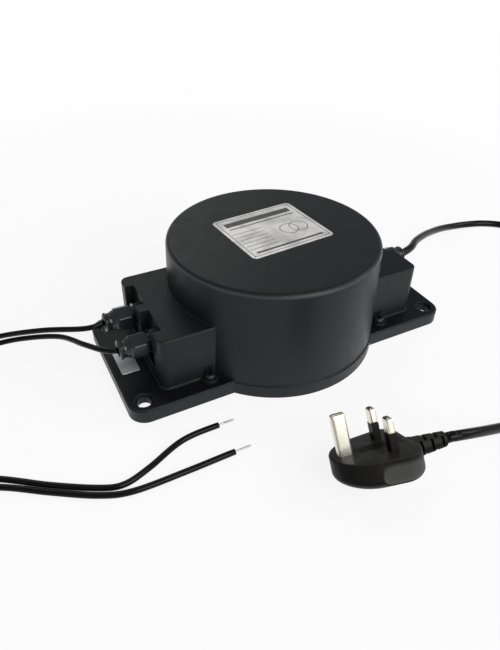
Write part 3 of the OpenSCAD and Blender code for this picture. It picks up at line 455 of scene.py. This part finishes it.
cadFinishes = {
    "housing_plastic": housingPlastic,
    "gland_nylon": glandPlastic,
    "plug_plastic": plugPlastic,
    "cable_pvc": cableSheath,
    "tinned_copper": tinnedWire,
    "pin_brass": platedBrass,
    "screw_steel": blackScrew,
    "seal_rubber": sealRubber,
    "label_film": labelFilm,
    "potting_resin": makePlain("pottingResin", (0.03, 0.027, 0.024), 0.25, grain=0.004, depth=0.02, coat=0.6),
    "core_steel": makeMetal("coreSteel", (0.4, 0.41, 0.43), (0.3, 0.5), scratch=0.0006,
                            brushed=(1.0, 1.0, 30.0)),
    "insulation_film": makeWinding("insulationFilm", (0.66, 0.6, 0.3), math.radians(12), depth=0.06,
                                   metallic=0.0),
    "winding_copper": makeWinding("windingCopper", (0.6, 0.25, 0.09), math.radians(2.2)),
    "outer_tape_film": makeWinding("outerTapeFilm", (0.7, 0.5, 0.07), math.radians(15), depth=0.08,
                                   metallic=0.0),
    "cutout_case": makePlain("cutoutCase", (0.45, 0.45, 0.43), 0.35, metallic=0.8),
    "inner_wire": makePlain("innerWire", (0.15, 0.07, 0.03), 0.35),
    "splice_nylon": makePlain("spliceNylon", (0.42, 0.06, 0.04), 0.3),
    "fuse_ceramic": makePlain("fuseCeramic", (0.74, 0.7, 0.62), 0.3, coat=0.4),
}


def dressNodes():
    slots = {s["node"]: s["material_slot"] for s in frame["record"]["subparts"]}
    for name, item in nodes.items():
        finish = cadFinishes[slots[name]]
        if not item.data.materials:
            item.data.materials.append(finish)
        for k in range(len(item.material_slots)):
            item.material_slots[k].material = finish


dressNodes()
print("CAD nodes dressed")


# Surfaces

def unitRows(v):
    return v / np.linalg.norm(v, axis=-1, keepdims=True)


def circleAngles(count):
    return np.linspace(0, fullTurn, count, endpoint=False)


def gridFaces(rows, columns):
    # quads between neighbouring rows and columns of a grid, the last column joined to the first
    i, j = np.meshgrid(np.arange(rows - 1), np.arange(columns), indexing="ij")
    k = (j + 1) % columns
    corners = [i * columns + j, i * columns + k, (i + 1) * columns + k, (i + 1) * columns + j]
    return np.stack(corners, -1).reshape(-1, 4)


def makePiece(name, points, faces, finish, stands, body="housing", chart=None):
    # a smooth mesh object from arrays of points and faces, turned outwards if its volume comes out negative,
    # riding on its body and standing for CAD nodes
    mesh = bpy.data.meshes.new(name)
    points = np.asarray(points, float)
    a, b, c = (points[[face[k] for face in faces]] for k in range(3))
    volume = np.einsum("ij,ij->i", a, np.cross(b, c)).sum()
    mesh.from_pydata(points.tolist(), [], [list(f) if volume > 0 else list(f)[::-1] for f in faces])
    mesh.update()
    mesh.polygons.foreach_set("use_smooth", np.ones(len(mesh.polygons), bool))
    if chart is not None:
        layer = mesh.uv_layers.new(name=chartName)
        corners = np.zeros(len(mesh.loops), np.int32)
        mesh.loops.foreach_get("vertex_index", corners)
        layer.data.foreach_set("uv", chart[corners].astype(np.float32).ravel())
    mesh.materials.append(finish)
    item = bpy.data.objects.new(name, mesh)
    scene.collection.objects.link(item)
    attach(item, body)
    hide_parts(*stands)
    return item


def tubeGrid(line, radius, sides, first=None, last=None):
    # rings about a line: each ring's side is level and its up is square to the line; first and last aim the
    # end rings; radius may vary by ring and angle
    way = np.gradient(line, axis=0)
    if first is not None:
        way[0] = first
    if last is not None:
        way[-1] = last
    way = unitRows(way)
    side = unitRows(np.cross(way, [0.0, 0.0, 1.0]))
    up = np.cross(side, way)
    angle = circleAngles(sides)[None, :, None]
    r = np.broadcast_to(np.asarray(radius, float), (len(line), sides))[..., None]
    return line[:, None] + r * (np.cos(angle) * side[:, None] + np.sin(angle) * up[:, None])


def closeEnds(rings):
    # the grid's points and faces, with a fan of triangles at each end
    rows, sides = rings.shape[:2]
    points = np.concatenate([rings.reshape(-1, 3), rings[:1].mean(1), rings[-1:].mean(1)])
    k = np.arange(sides)
    near, far = rows * sides, rows * sides + 1
    start = np.stack([np.full(sides, near), (k + 1) % sides, k], -1)
    end = np.stack([np.full(sides, far), (rows - 1) * sides + k, (rows - 1) * sides + (k + 1) % sides], -1)
    return points, gridFaces(rows, sides).tolist() + start.tolist() + end.tolist()


def smoothRoute(route, steps):
    # Catmull-Rom line through every point but the first and the last, which aim its ends
    p = np.asarray(route, float)
    a, b, c, d = p[:-3, None], p[1:-2, None], p[2:-1, None], p[3:, None]
    t = (np.arange(steps) / steps)[None, :, None]
    square = 2 * a - 5 * b + 4 * c - d
    cube = 3 * b - a - 3 * c + d
    line = 0.5 * (2 * b + (c - a) * t + square * t ** 2 + cube * t ** 3)
    return np.concatenate([line.reshape(-1, 3), p[-2:-1]])


def lineLength(line):
    return np.concatenate([[0.0], np.cumsum(np.linalg.norm(np.diff(line, axis=0), axis=1))])


def makeCord(name, line, facts, stands, first=None, last=None):
    # a round sheath along the line; the cores twisted inside it lift it a little, three ridges to a turn
    along = lineLength(line)
    sides = facts["sides"]
    angle = circleAngles(sides)
    ridges = np.cos(3 * angle[None] - fullTurn * along[:, None] / facts["twist"])
    radius = facts["diameter"] / 2 * (1 - facts["ripple"] + facts["ripple"] * ridges)
    points, faces = closeEnds(tubeGrid(line, radius, sides, first, last))
    chart = np.stack([np.repeat(along, sides), np.tile(np.abs(angle / math.pi - 1), len(along))], -1)
    chart = np.concatenate([chart, [[0.0, 0.5], [along[-1], 0.5]]])
    piece = makePiece(name, points, faces, cableSheath, stands, chart=chart)
    return piece, along[-1]


# Cords

lead = {
    "diameter": 3.6 * mm, "sides": 20, "ripple": 0.0, "twist": 0.05, "steps": 8,
    "rear": [(-100, 15, 31.5), (-114, 15, 31.5), (-126, 16, 30.4), (-150, 36, 23), (-176, 57, 12),
             (-200, 66, 5), (-226, 60, 2), (-247, 38, 2), (-254, 10, 2), (-249, -20, 2), (-226, -45, 2),
             (-195, -59.5, 2), (-172, -74.5, 2), (-150, -87.7, 2), (-133, -93.3, 2), (-104, -94, 2),
             (-74, -93.7, 2), (-44, -94, 2)],
    "front": [(-100, -15, 31.5), (-114, -15, 31.5), (-122, -9, 30.4), (-130, 5, 27), (-141, 30.5, 18.5),
              (-161, 50, 10), (-180, 59, 5), (-204, 60, 2), (-226, 50, 2), (-242, 32, 2), (-248, 8, 2),
              (-243, -17, 2), (-222, -39, 2), (-194, -54.3, 2), (-171.3, -70, 2), (-148.5, -83.4, 2),
              (-136, -87, 2), (-120.8, -82.7, 2), (-97.5, -73, 2), (-74, -71.6, 2), (-50, -73, 2)],
}

strands = {
    "length": 10.0, "rows": 60, "sides": 8, "wire": 0.13, "wires": 12, "turns": 0.75,
    # the bundle widens over the first part of its length, and closes over the last
    "rootRadius": 0.42, "tipRadius": 0.66, "widenRate": 2.2, "widenPower": 0.8,
    "closeFrom": 0.97, "closeMost": 0.98, "coreInset": 0.8,
}

mains = {
    "diameter": 6.0 * mm, "sides": 24, "ripple": 0.006, "twist": 0.05, "steps": 6, "coilSteps": 60,
    "coilAt": (217.0, -100.0), "coilRadius": 24.5, "pitch": 6.6, "coilZ": 4.5,
    "turnsIn": 2.5, "turnsOut": 2.75, "climb": 0.5,
    "supply": [(98, 0, 31.5), (114, 0, 31.5), (129.5, 5.5, 30.2), (145, 16.5, 27), (164, 27.5, 22),
               (183, 37, 16.5), (203, 45, 11), (222, 49.8, 6.5), (241, 50.3, 4), (259, 45.8, 3.2),
               (273, 36, 3.2), (281.5, 21, 3.2), (283, 3, 3.2), (279, -16, 3.2), (272, -36, 3.2),
               (265, -56, 3.6), (260, -76, 4.3)],
    "plug": [(29.8, -151.6, 21.7), (37.1, -152.6, 20.5), (47, -152.8, 17.3), (58.2, -152.4, 13),
             (68, -152, 9.3), (78, -151.8, 5.9), (90, -151.6, 3.9), (104, -151.5, 3.2), (118, -151.5, 3.2),
             (134, -151.5, 3.2), (150, -150.5, 3.8), (168, -147.5, 6.2), (188, -144, 9.6)],
    # where the two stretches aim as they run into the coil
    "supplyAim": (258, -112, 4.5), "plugAim": (234, -143, 11.1),
}

plug = {
    "at": (-9.0, -139.5, 23.1496), "tilt": (-33.7, -5.9, -12.0),
    "reach": 13.0, "neck": 2.0, "neckZ": -6.4, "relief": 19.0,
    "halfWidth": 23.8, "noseRadius": 21.6, "noseX": -8.7, "shoulderRadius": 9.0,
    "depth": 18.0, "edge": 0.8, "band": 9.0, "sweep": 62.1,
    "columns": 200, "outlineSteps": 720, "centre": 0.001,
    "faceRings": 9, "rimRings": 8, "bowlRings": 44, "baseRings": 4,
    # finger recess: middle along x and z, half length, half height, depth, and how far out its side lies
    "grip": (0.5, -8.0, 12.0, 6.6, 1.9), "gripSide": 10.0,
}


def plugTurn():
    # the plug's turns about X, then Y, then Z, as one matrix
    a, b, c = (math.radians(t) for t in plug["tilt"])
    aboutX = np.array([[1, 0, 0], [0, math.cos(a), -math.sin(a)], [0, math.sin(a), math.cos(a)]])
    aboutY = np.array([[math.cos(b), 0, math.sin(b)], [0, 1, 0], [-math.sin(b), 0, math.cos(b)]])
    aboutZ = np.array([[math.cos(c), -math.sin(c), 0], [math.sin(c), math.cos(c), 0], [0, 0, 1]])
    return aboutZ @ aboutY @ aboutX


def fromPlug(points):
    # millimetres in the plug's own frame to metres in the part's frame
    return (np.asarray(points, float) @ plugTurn().T + np.array(plug["at"])) * mm


def coilPoints(u):
    # spiral in, reversed at u = 0 while it climbs one pitch, and out again; u counts turns
    r = mains["coilRadius"] + mains["pitch"] * np.abs(u)
    angle = math.pi - fullTurn * u
    z = mains["coilZ"] + mains["pitch"] * np.clip(u / mains["climb"] + 0.5, 0, 1)
    return np.stack([mains["coilAt"][0] + r * np.cos(angle), mains["coilAt"][1] + r * np.sin(angle), z], -1)


def mainsLine():
    # supply stretch, coil and plug stretch as one line, from the gland to the strain relief's end
    f = mains
    turns = f["turnsIn"] + f["turnsOut"]
    coil = coilPoints(np.linspace(-f["turnsIn"], f["turnsOut"], int(turns * f["coilSteps"]) + 1))
    d = f["diameter"] / mm
    supply = smoothRoute(f["supply"] + [coil[0] + [0, d, 0], f["supplyAim"]], f["steps"])
    # the relief's two ends, in the plug's frame, aim and start the plug stretch
    start = plug["reach"] - plug["relief"]
    end = plug["reach"] + plug["neck"] + plug["relief"]
    aim, reliefEnd = fromPlug([[start, 0, plug["neckZ"]], [end, 0, plug["neckZ"]]]) / mm
    out = smoothRoute([aim, reliefEnd] + f["plug"] + [coil[-1] - [d, 0, 0], f["plugAim"]], f["steps"])
    return np.concatenate([supply, coil, out[::-1]]) * mm


def makeStrands(side, end):
    # fine wires laid round a core, a helix each; the bundle widens to its tinned tip
    f = strands
    along = np.linspace(0, 1, f["rows"])
    widen = np.clip(along * f["widenRate"], 0, 1) ** f["widenPower"]
    close = np.clip((along - f["closeFrom"]) / (1 - f["closeFrom"]), 0, f["closeMost"])
    reach = (f["rootRadius"] + (f["tipRadius"] - f["rootRadius"]) * widen) * np.sqrt(1 - close ** 2)
    points, faces, count = [], [], 0
    for k in range(f["wires"] + 1):
        core = k == f["wires"]
        angle = fullTurn * (k / f["wires"] + along * f["turns"])
        out = np.maximum(reach - f["wire"], 0) * (not core)
        line = np.stack([along * f["length"], out * np.cos(angle), out * np.sin(angle)], -1)
        thick = reach - f["wire"] * f["coreInset"] if core else np.full(len(along), f["wire"])
        p, q = closeEnds(tubeGrid(line, thick[:, None], f["sides"], rightward, rightward))
        points.append(p)
        faces += [[v + count for v in face] for face in q]
        count += len(p)
    points = (np.concatenate(points) + np.array(end)) * mm
    return makePiece(side + "Strands", points, faces, tinnedWire, [side + "_strands"])


def makeLeads():
    for side in ("rear", "front"):
        line = smoothRoute(lead[side], lead["steps"]) * mm
        piece, length = makeCord(side + "Lead", line, lead, [side + "_lead"], first=leftward, last=rightward)
        bare = makeStrands(side, lead[side][-2])
        print(side, "lead", round(length, 3), "m")


def makeMains(onPlug):
    line = mainsLine()
    piece, length = makeCord("mainsLead", line, mains, ["supply_cable", "mains_coil", "plug_cable"])
    print("mains lead", round(length, 3), "m")


# Plug

pins = {
    # name: middle along x and y, thickness along x, width along y, length, CAD node
    "earth": ((-22.2, 0.0), 8.0, 4.0, 22.7, "earth_pin"),
    "line": ((0.0, 11.1), 4.0, 6.35, 17.7, "line_pin"),
    "neutral": ((0.0, -11.1), 4.0, 6.35, 17.7, "neutral_pin"),
    "sides": 64, "norm": 5.5, "root": 6.0, "tip": 1.7, "tipRings": 8, "tipDraw": 0.85,
    "shaftRings": 5, "shaftLead": 1.0, "earthRings": [6.0, 12.0],
    "sleeve": 9.1, "sleeveThickness": 0.5, "step": 0.02, "under": 0.2,
}

relief = {
    "rootRadius": 5.9, "tipRadius": 4.2, "from": -4.0, "rows": 150, "sides": 96,
    "hump": 0.4, "humpAt": 0.4, "humpWidth": 1.5, "humpPower": 4, "endLength": 0.8, "endDraw": 0.7,
    "slots": 5, "slotWidth": 1.3, "slotDepth": 1.5, "slotPower": 12, "slotSteep": 14,
}


def plugOutline(count):
    # hull of three circles, walked by its support point as the normal turns, then spaced evenly
    f = plug
    y = f["halfWidth"] - f["shoulderRadius"]
    x = f["reach"] - f["shoulderRadius"]
    middle = np.array([[f["noseX"], 0.0], [x, y], [x, -y]])
    radius = np.array([f["noseRadius"], f["shoulderRadius"], f["shoulderRadius"]])
    angle = np.linspace(0, fullTurn, f["outlineSteps"] + 1)
    normal = np.stack([np.cos(angle), np.sin(angle)], -1)
    best = np.argmax(normal @ middle.T + radius, axis=1)
    line = middle[best] + radius[best, None] * normal
    along = lineLength(line)
    at = np.linspace(0, along[-1], count, endpoint=False)
    return np.stack([np.interp(at, along, line[:, 0]), np.interp(at, along, line[:, 1])], -1)


def plugRows():
    # rows of the shell, each a share of the outline and a height: flat pin face, rounded rim, bowl and flat
    # base; the bowl's share is the cosine of an angle whose sine gives its depth
    f = plug
    inner = 1 - f["edge"] / f["halfWidth"]
    face = [(v, 0.0) for v in inner * np.linspace(0, 1, f["faceRings"] + 1)[1:]]
    turn = np.linspace(0, math.pi / 2, f["rimRings"] + 1)[1:]
    rim = [(inner + (1 - inner) * math.sin(t), -f["edge"] * (1 - math.cos(t))) for t in turn]
    sweep = math.radians(f["sweep"])
    deep = (f["depth"] - f["band"]) / math.sin(sweep)
    bowl = [(math.cos(t), -f["band"] - deep * math.sin(t)) for t in np.linspace(0, sweep, f["bowlRings"])]
    base = [(v, -f["depth"]) for v in math.cos(sweep) * np.linspace(1, 0, f["baseRings"] + 2)[1:-1]]
    return np.array([(f["centre"], 0.0)] + face + rim + bowl + base + [(f["centre"], -f["depth"])])


def makePlugShell():
    # the outline lofted over its rows, with a dished slot with round ends pressed into both long sides, whose
    # depth follows the distance from its midline
    count = plug["columns"]
    rows = plugRows()
    height = np.broadcast_to(rows[:, None, 1:], (len(rows), count, 1))
    grid = np.concatenate([rows[:, None, :1] * plugOutline(count)[None], height], -1)
    x, z, halfLength, halfHeight, depth = plug["grip"]
    off = np.maximum(np.abs(grid[..., 0] - x) - halfLength + halfHeight, 0)
    share = np.clip(1 - np.hypot(off, grid[..., 2] - z) ** 2 / halfHeight ** 2, 0, 1) ** 0.5
    share = share * (np.abs(grid[..., 1]) > plug["gripSide"])
    grid[..., 1] -= np.sign(grid[..., 1]) * depth * share
    f = plugChart
    onSide = np.stack([0 * share, share], -1) + f["gripAt"]
    chart = np.where(grid[..., 2:] < f["faceEnd"], onSide, grid[..., :2] * f["scale"] + f["middle"])
    points, faces = closeEnds(grid)
    chart = np.concatenate([chart.reshape(-1, 2), [[f["middle"]] * 2, [f["gripAt"]] * 2]])
    return makePiece("plugShell", fromPlug(points), faces, plugShellPlastic, ["plug_body"],
                     chart=chart)


def makePin(name):
    # rounded bar: a p-norm section, drawn in round the tip by a quarter circle and thinner under its sleeve
    f = pins
    (x, y), thick, width, length, node = f[name]
    sleeved = name != "earth"
    turn = np.linspace(0, math.pi / 2, f["tipRings"] + 1)[1:]
    z = [-f["root"], -f["under"], 0.0]
    z += [f["sleeve"] - f["step"], f["sleeve"]] if sleeved else f["earthRings"]
    shoulder = length - f["tip"]
    z += list(np.linspace(z[-1] + f["shaftLead"], shoulder, f["shaftRings"]))
    z = np.array(z + list(shoulder + f["tip"] * np.sin(turn)))
    inset = np.zeros(len(z))
    inset[-f["tipRings"]:] = f["tip"] * (1 - np.cos(turn)) * f["tipDraw"]
    if sleeved:
        inset[(z >= 0) & (z < f["sleeve"] - f["step"] / 2)] = f["sleeveThickness"]
    angle = circleAngles(f["sides"])
    norm = (np.abs(np.cos(angle)) ** f["norm"] + np.abs(np.sin(angle)) ** f["norm"]) ** (-1 / f["norm"])
    halfX, halfY = (size / 2 - inset[:, None] for size in (thick, width))
    height = np.broadcast_to(z[:, None], (len(z), f["sides"]))
    grid = np.stack([x + halfX * norm * np.cos(angle), y + halfY * norm * np.sin(angle), height], -1)
    points, faces = closeEnds(grid)
    return makePiece(name + "Pin", fromPlug(points), faces, platedBrass, [node])


def makeRelief():
    # tapered sleeve with short slots, each over a quarter of the round: a pair on the sides, then a pair on
    # top and bottom, and so on
    f = relief
    length = plug["neck"] + plug["relief"]
    along = np.linspace(f["from"], length, f["rows"])
    angle = circleAngles(f["sides"])
    share = np.clip((along - plug["neck"]) / plug["relief"], 0, 1)
    base = f["rootRadius"] + (f["tipRadius"] - f["rootRadius"]) * share
    base += f["hump"] * np.exp(-((along - f["humpAt"]) / f["humpWidth"]) ** f["humpPower"])
    base -= np.clip((along - length) / f["endLength"] + 1, 0, 1) ** 2 * f["endDraw"]
    radius = np.repeat(base[:, None], f["sides"], 1)
    step = plug["relief"] / (f["slots"] + 1)
    for k in range(f["slots"]):
        middle = plug["neck"] + step * (k + 1)
        pulse = 1 / (1 + (2 * np.abs(along - middle) / f["slotWidth"]) ** f["slotPower"])
        lean = np.cos(2 * angle + math.pi * (k % 2))
        radius -= f["slotDepth"] * pulse[:, None] / (1 + np.exp(-lean * f["slotSteep"]))[None]
    x = np.repeat((plug["reach"] + along)[:, None], f["sides"], 1)
    grid = np.stack([x, radius * np.cos(angle), plug["neckZ"] + radius * np.sin(angle)], -1)
    points, faces = closeEnds(grid)
    return makePiece("strainRelief", fromPlug(points), faces, plugPlastic, ["strain_relief"])


def makePlug():
    return [makePlugShell(), makeRelief()] + [makePin(name) for name in ("earth", "line", "neutral")]


makeLeads()
makeMains(makePlug())
print("cords and plug made")


# Cap nuts

capNut = {
    "places": [("rear", -1, 15.0), ("front", -1, -15.0), ("mains", 1, 0.0)],
    "axisZ": 31.5, "wallX": 89.2, "start": 6.6, "length": 18.2, "flats": 15.0, "hexShare": 0.64,
    "sides": 144, "hexNorm": 26.0, "limitNorm": 60,
    "collar": 6.4, "groove": 0.7, "mouth": 3.75, "thread": 5.95, "tipBore": 5.1,
    "threadEnd": 8.554, "boreEnd": 15.0, "boreStep": 0.1,
    # rows of the profile, each a distance and a change of the radius; the hexagon's first rows run from the
    # nut's start, and the radius from half its flats, then from its corners
    "foot": [(0.0, -0.5), (0.0, -0.1), (0.5, 0.45)],
    "chamfer": [(1.2, 0.3), (2.0, 1.0)],
    "flatRows": (3.2, 3.4, 4), "shoulder": (9, -2.6, 0.26, 0.35, -0.225), "shoulderEnd": (-0.2, -0.75),
    # from the hexagon's end, and the collar's radius
    "neck": [(0.0, 0.15), (0.15, 0.0), (1.1, 0.0), (1.35, -0.2), (1.8, -0.65)],
    # from the nut's far end, and the collar's radius, then the mouth's
    "lip": [(-1.9, -0.35), (-1.7, -0.08), (-1.1, -0.05), (-0.55, -0.3), (-0.15, -0.75), (0.0, -1.3)],
    "mouthRows": [(0.0, 1.05), (-0.1, 0.8), (-0.5, 0.3), (-1.0, 0.0)],
    "grooveEnds": (2.1, 2.2),
}


def capProfile():
    # rows along the nut: distance from its start, limit of the radius, and 1 where the hexagon shows
    f = capNut
    end, collar, mouth = f["length"], f["collar"], f["mouth"]
    hexEnd = end * f["hexShare"]
    half = f["flats"] / 2
    corner = half / math.cos(math.pi / 6)
    outer = corner + f["chamfer"][-1][1]
    first, last, count = f["flatRows"]
    steps, back, stepX, top, stepRadius = f["shoulder"]
    hexRows = [(x, half + r) for x, r in f["foot"]] + [(x, corner + r) for x, r in f["chamfer"]]
    hexRows += [(x, outer) for x in np.linspace(first, hexEnd - last, count)]
    hexRows += [(hexEnd + back + stepX * k, corner + top + stepRadius * k) for k in range(steps)]
    hexRows += [(hexEnd + f["shoulderEnd"][0], half + f["shoulderEnd"][1])]
    floor = collar - f["groove"]
    rows = [(hexEnd + x, collar + r) for x, r in f["neck"]]
    rows += [(hexEnd + f["grooveEnds"][0], floor), (end - f["grooveEnds"][1], floor)]
    rows += [(end + x, collar + r) for x, r in f["lip"]] + [(end + x, mouth + r) for x, r in f["mouthRows"]]
    rows += [(f["boreEnd"] + f["boreStep"], mouth), (f["boreEnd"], f["tipBore"])]
    rows += [(f["threadEnd"], f["thread"]), (0.0, f["thread"])]
    return np.array([(*row, 1) for row in hexRows] + [(*row, 0) for row in rows])


def makeCapNuts():
    # a grid of angle by profile row, whose last row joins its first: the smaller of a p-norm hexagon and the
    # row's limit
    f = capNut
    rows = capProfile()
    angle = circleAngles(f["sides"])
    parts = sum(np.abs(np.cos(angle - k * math.pi / 3)) ** f["hexNorm"] for k in range(3))
    hexagon = f["flats"] / 2 * parts ** (-1 / f["hexNorm"])
    soft = (hexagon[None] ** -f["limitNorm"] + rows[:, 1:2] ** -f["limitNorm"]) ** (-1 / f["limitNorm"])
    radius = np.where(rows[:, 2:] > 0, soft, rows[:, 1:2])
    faces = gridFaces(len(rows) + 1, f["sides"]) % (len(rows) * f["sides"])
    for name, way, y in f["places"]:
        x = np.repeat(way * (f["wallX"] + f["start"] + rows[:, :1]), f["sides"], 1)
        grid = np.stack([x, y + radius * np.cos(angle), f["axisZ"] + radius * np.sin(angle)], -1)
        makePiece(name + "CapNut", grid.reshape(-1, 3) * mm, faces.tolist(), glandPlastic,
                  [name + "_gland_cap"], body=name + "_cap")


makeCapNuts()
print("cap nuts made")


# Silver films

films = {
    "topFilm": {"middle": (1.8, 5.7, 76.5), "size": (62.0, 53.0), "turn": 5.0, "corner": 3.0,
                "node": "top_label"},
    "smallFilm": {"middle": (-107.45, -1.5, 9.4), "size": (12.0, 24.0), "turn": 0.0, "corner": 1.0,
                  "node": "small_label"},
    "columns": 256, "reach": 1.5, "thickness": 0.4,
    # share of the outline, distance inside it, and depth below the upper face
    "rings": [(0.001, 0, 0), (0.5, 0, 0), (1.0, 0.5, 0), (1.0, 0.25, 0), (1.0, 0.1, 0.04), (1.0, 0.02, 0.14),
              (1.0, 0, 0.4), (0.001, 0, 0.4)],
}


def makeFilm(name, finish):
    # the directions of a circle pushed out to a square, laid over the film and held to an arc at each corner,
    # in rings from the middle over a softly turned edge to the middle below
    f = films[name]
    size = np.array(f["size"])
    angle = circleAngles(films["columns"])
    square = np.clip(np.stack([np.cos(angle), np.sin(angle)], -1) * films["reach"], -1, 1)
    lean = square * (size / 2)
    held = np.clip(lean, f["corner"] - size / 2, size / 2 - f["corner"])
    out = lean - held
    far = np.linalg.norm(out, axis=1, keepdims=True)
    outline = held + out * f["corner"] / np.maximum(far, f["corner"])
    rings = []
    for share, inset, drop in films["rings"]:
        height = np.full((len(angle), 1), films["thickness"] - drop)
        rings.append(np.concatenate([outline * share * (1 - 2 * inset / size), height], 1))
    points, faces = closeEnds(np.stack(rings))
    chart = points[:, :2] / size + 0.5
    a = math.radians(f["turn"])
    x, y, z = points.T
    turned = np.stack([x * math.cos(a) - y * math.sin(a), x * math.sin(a) + y * math.cos(a), z], -1)
    makePiece(name, (turned + f["middle"]) * mm, faces, finish, [f["node"]], chart=chart)


makeFilm("topFilm", printedFilm)
makeFilm("smallFilm", labelFilm)
print("films made")


# Floor, backdrop and lamps

studio = {
    "floorHalf": 6.0, "tone": (0.93, 0.93, 0.93), "roughness": 0.8, "specular": 0.1,
    "glow": (0.86, 1.0), "glowFrom": (0.25, 0.7), "world": 0.3, "white": (1, 1, 1, 1),
    "lamps": [  # place, aim, size, watts
        ((0.5, -1.7, 1.35), (0, 0, 0.03), 1.5, 31.0),
        ((1.6, -0.5, 1.0), (0, 0, 0.03), 1.0, 7.0),
        ((0.0, 1.7, 1.75), (0, 0, 0.05), 1.8, 10.0),
    ],
}


def blendShaders(tree, amount, first, second, output):
    blend = addNode(tree, "ShaderNodeMixShader")
    tree.links.new(amount, blend.inputs["Fac"])
    tree.links.new(first, blend.inputs[1])
    tree.links.new(second, blend.inputs[2])
    tree.links.new(blend.outputs["Shader"], tree.nodes[output].inputs["Surface"])


def makeFloor(facts):
    # paper: what the camera sees of it is mostly a white glow, on which shadows lie faintly, and nothing but
    # the glow far from the middle
    half = facts["floorHalf"]
    mesh = bpy.data.meshes.new("floor")
    corners = [(-half, -half, 0), (half, -half, 0), (half, half, 0), (-half, half, 0)]
    mesh.from_pydata(corners, [], [(0, 1, 2, 3)])
    floor = bpy.data.objects.new("floor", mesh)
    scene.collection.objects.link(floor)
    material, tree, shader = startMaterial("paperFloor", facts["tone"], facts["roughness"],
                                           specular=facts["specular"])
    mesh.materials.append(material)
    glow = addNode(tree, "ShaderNodeEmission", Strength=1.0, Color=facts["white"]).outputs["Emission"]
    path = addNode(tree, "ShaderNodeLightPath").outputs
    seen = largest(tree, path["Is Camera Ray"], path["Is Glossy Ray"], path["Is Transmission Ray"])
    far = addNode(tree, "ShaderNodeVectorMath", {"operation": "LENGTH"})
    tree.links.new(objectPlace(tree), far.inputs[0])
    amount = product(tree, seen, spread(tree, far.outputs["Value"], *facts["glow"], *facts["glowFrom"]))
    blendShaders(tree, amount, shader.outputs["BSDF"], glow, "Material Output")


def makeWorld(facts):
    # an even white world, dimmed for everything but the camera's own view of it
    world = bpy.data.worlds.new("studio")
    scene.world = world
    world.use_nodes = True
    sky = world.node_tree
    dim = sky.nodes["Background"]
    dim.inputs["Color"].default_value = facts["white"]
    dim.inputs["Strength"].default_value = facts["world"]
    clear = addNode(sky, "ShaderNodeBackground", Strength=1.0, Color=facts["white"])
    path = addNode(sky, "ShaderNodeLightPath")
    blendShaders(sky, path.outputs["Is Camera Ray"], dim.outputs["Background"], clear.outputs["Background"],
                 "World Output")


def makeLamps(facts):
    for k, (place, aim, size, watts) in enumerate(facts["lamps"]):
        data = bpy.data.lights.new("softbox%d" % k, "AREA")
        data.shape, data.size, data.energy = "SQUARE", size, watts
        lamp = bpy.data.objects.new("softbox%d" % k, data)
        back = unitRows(np.array(place) - np.array(aim))
        side = unitRows(np.cross([0.0, 0.0, 1.0], back))
        lamp.matrix_world = matrixOf(side, np.cross(back, side), back, place)
        scene.collection.objects.link(lamp)


makeFloor(studio)
makeWorld(studio)
makeLamps(studio)
print("stage and lamps set")
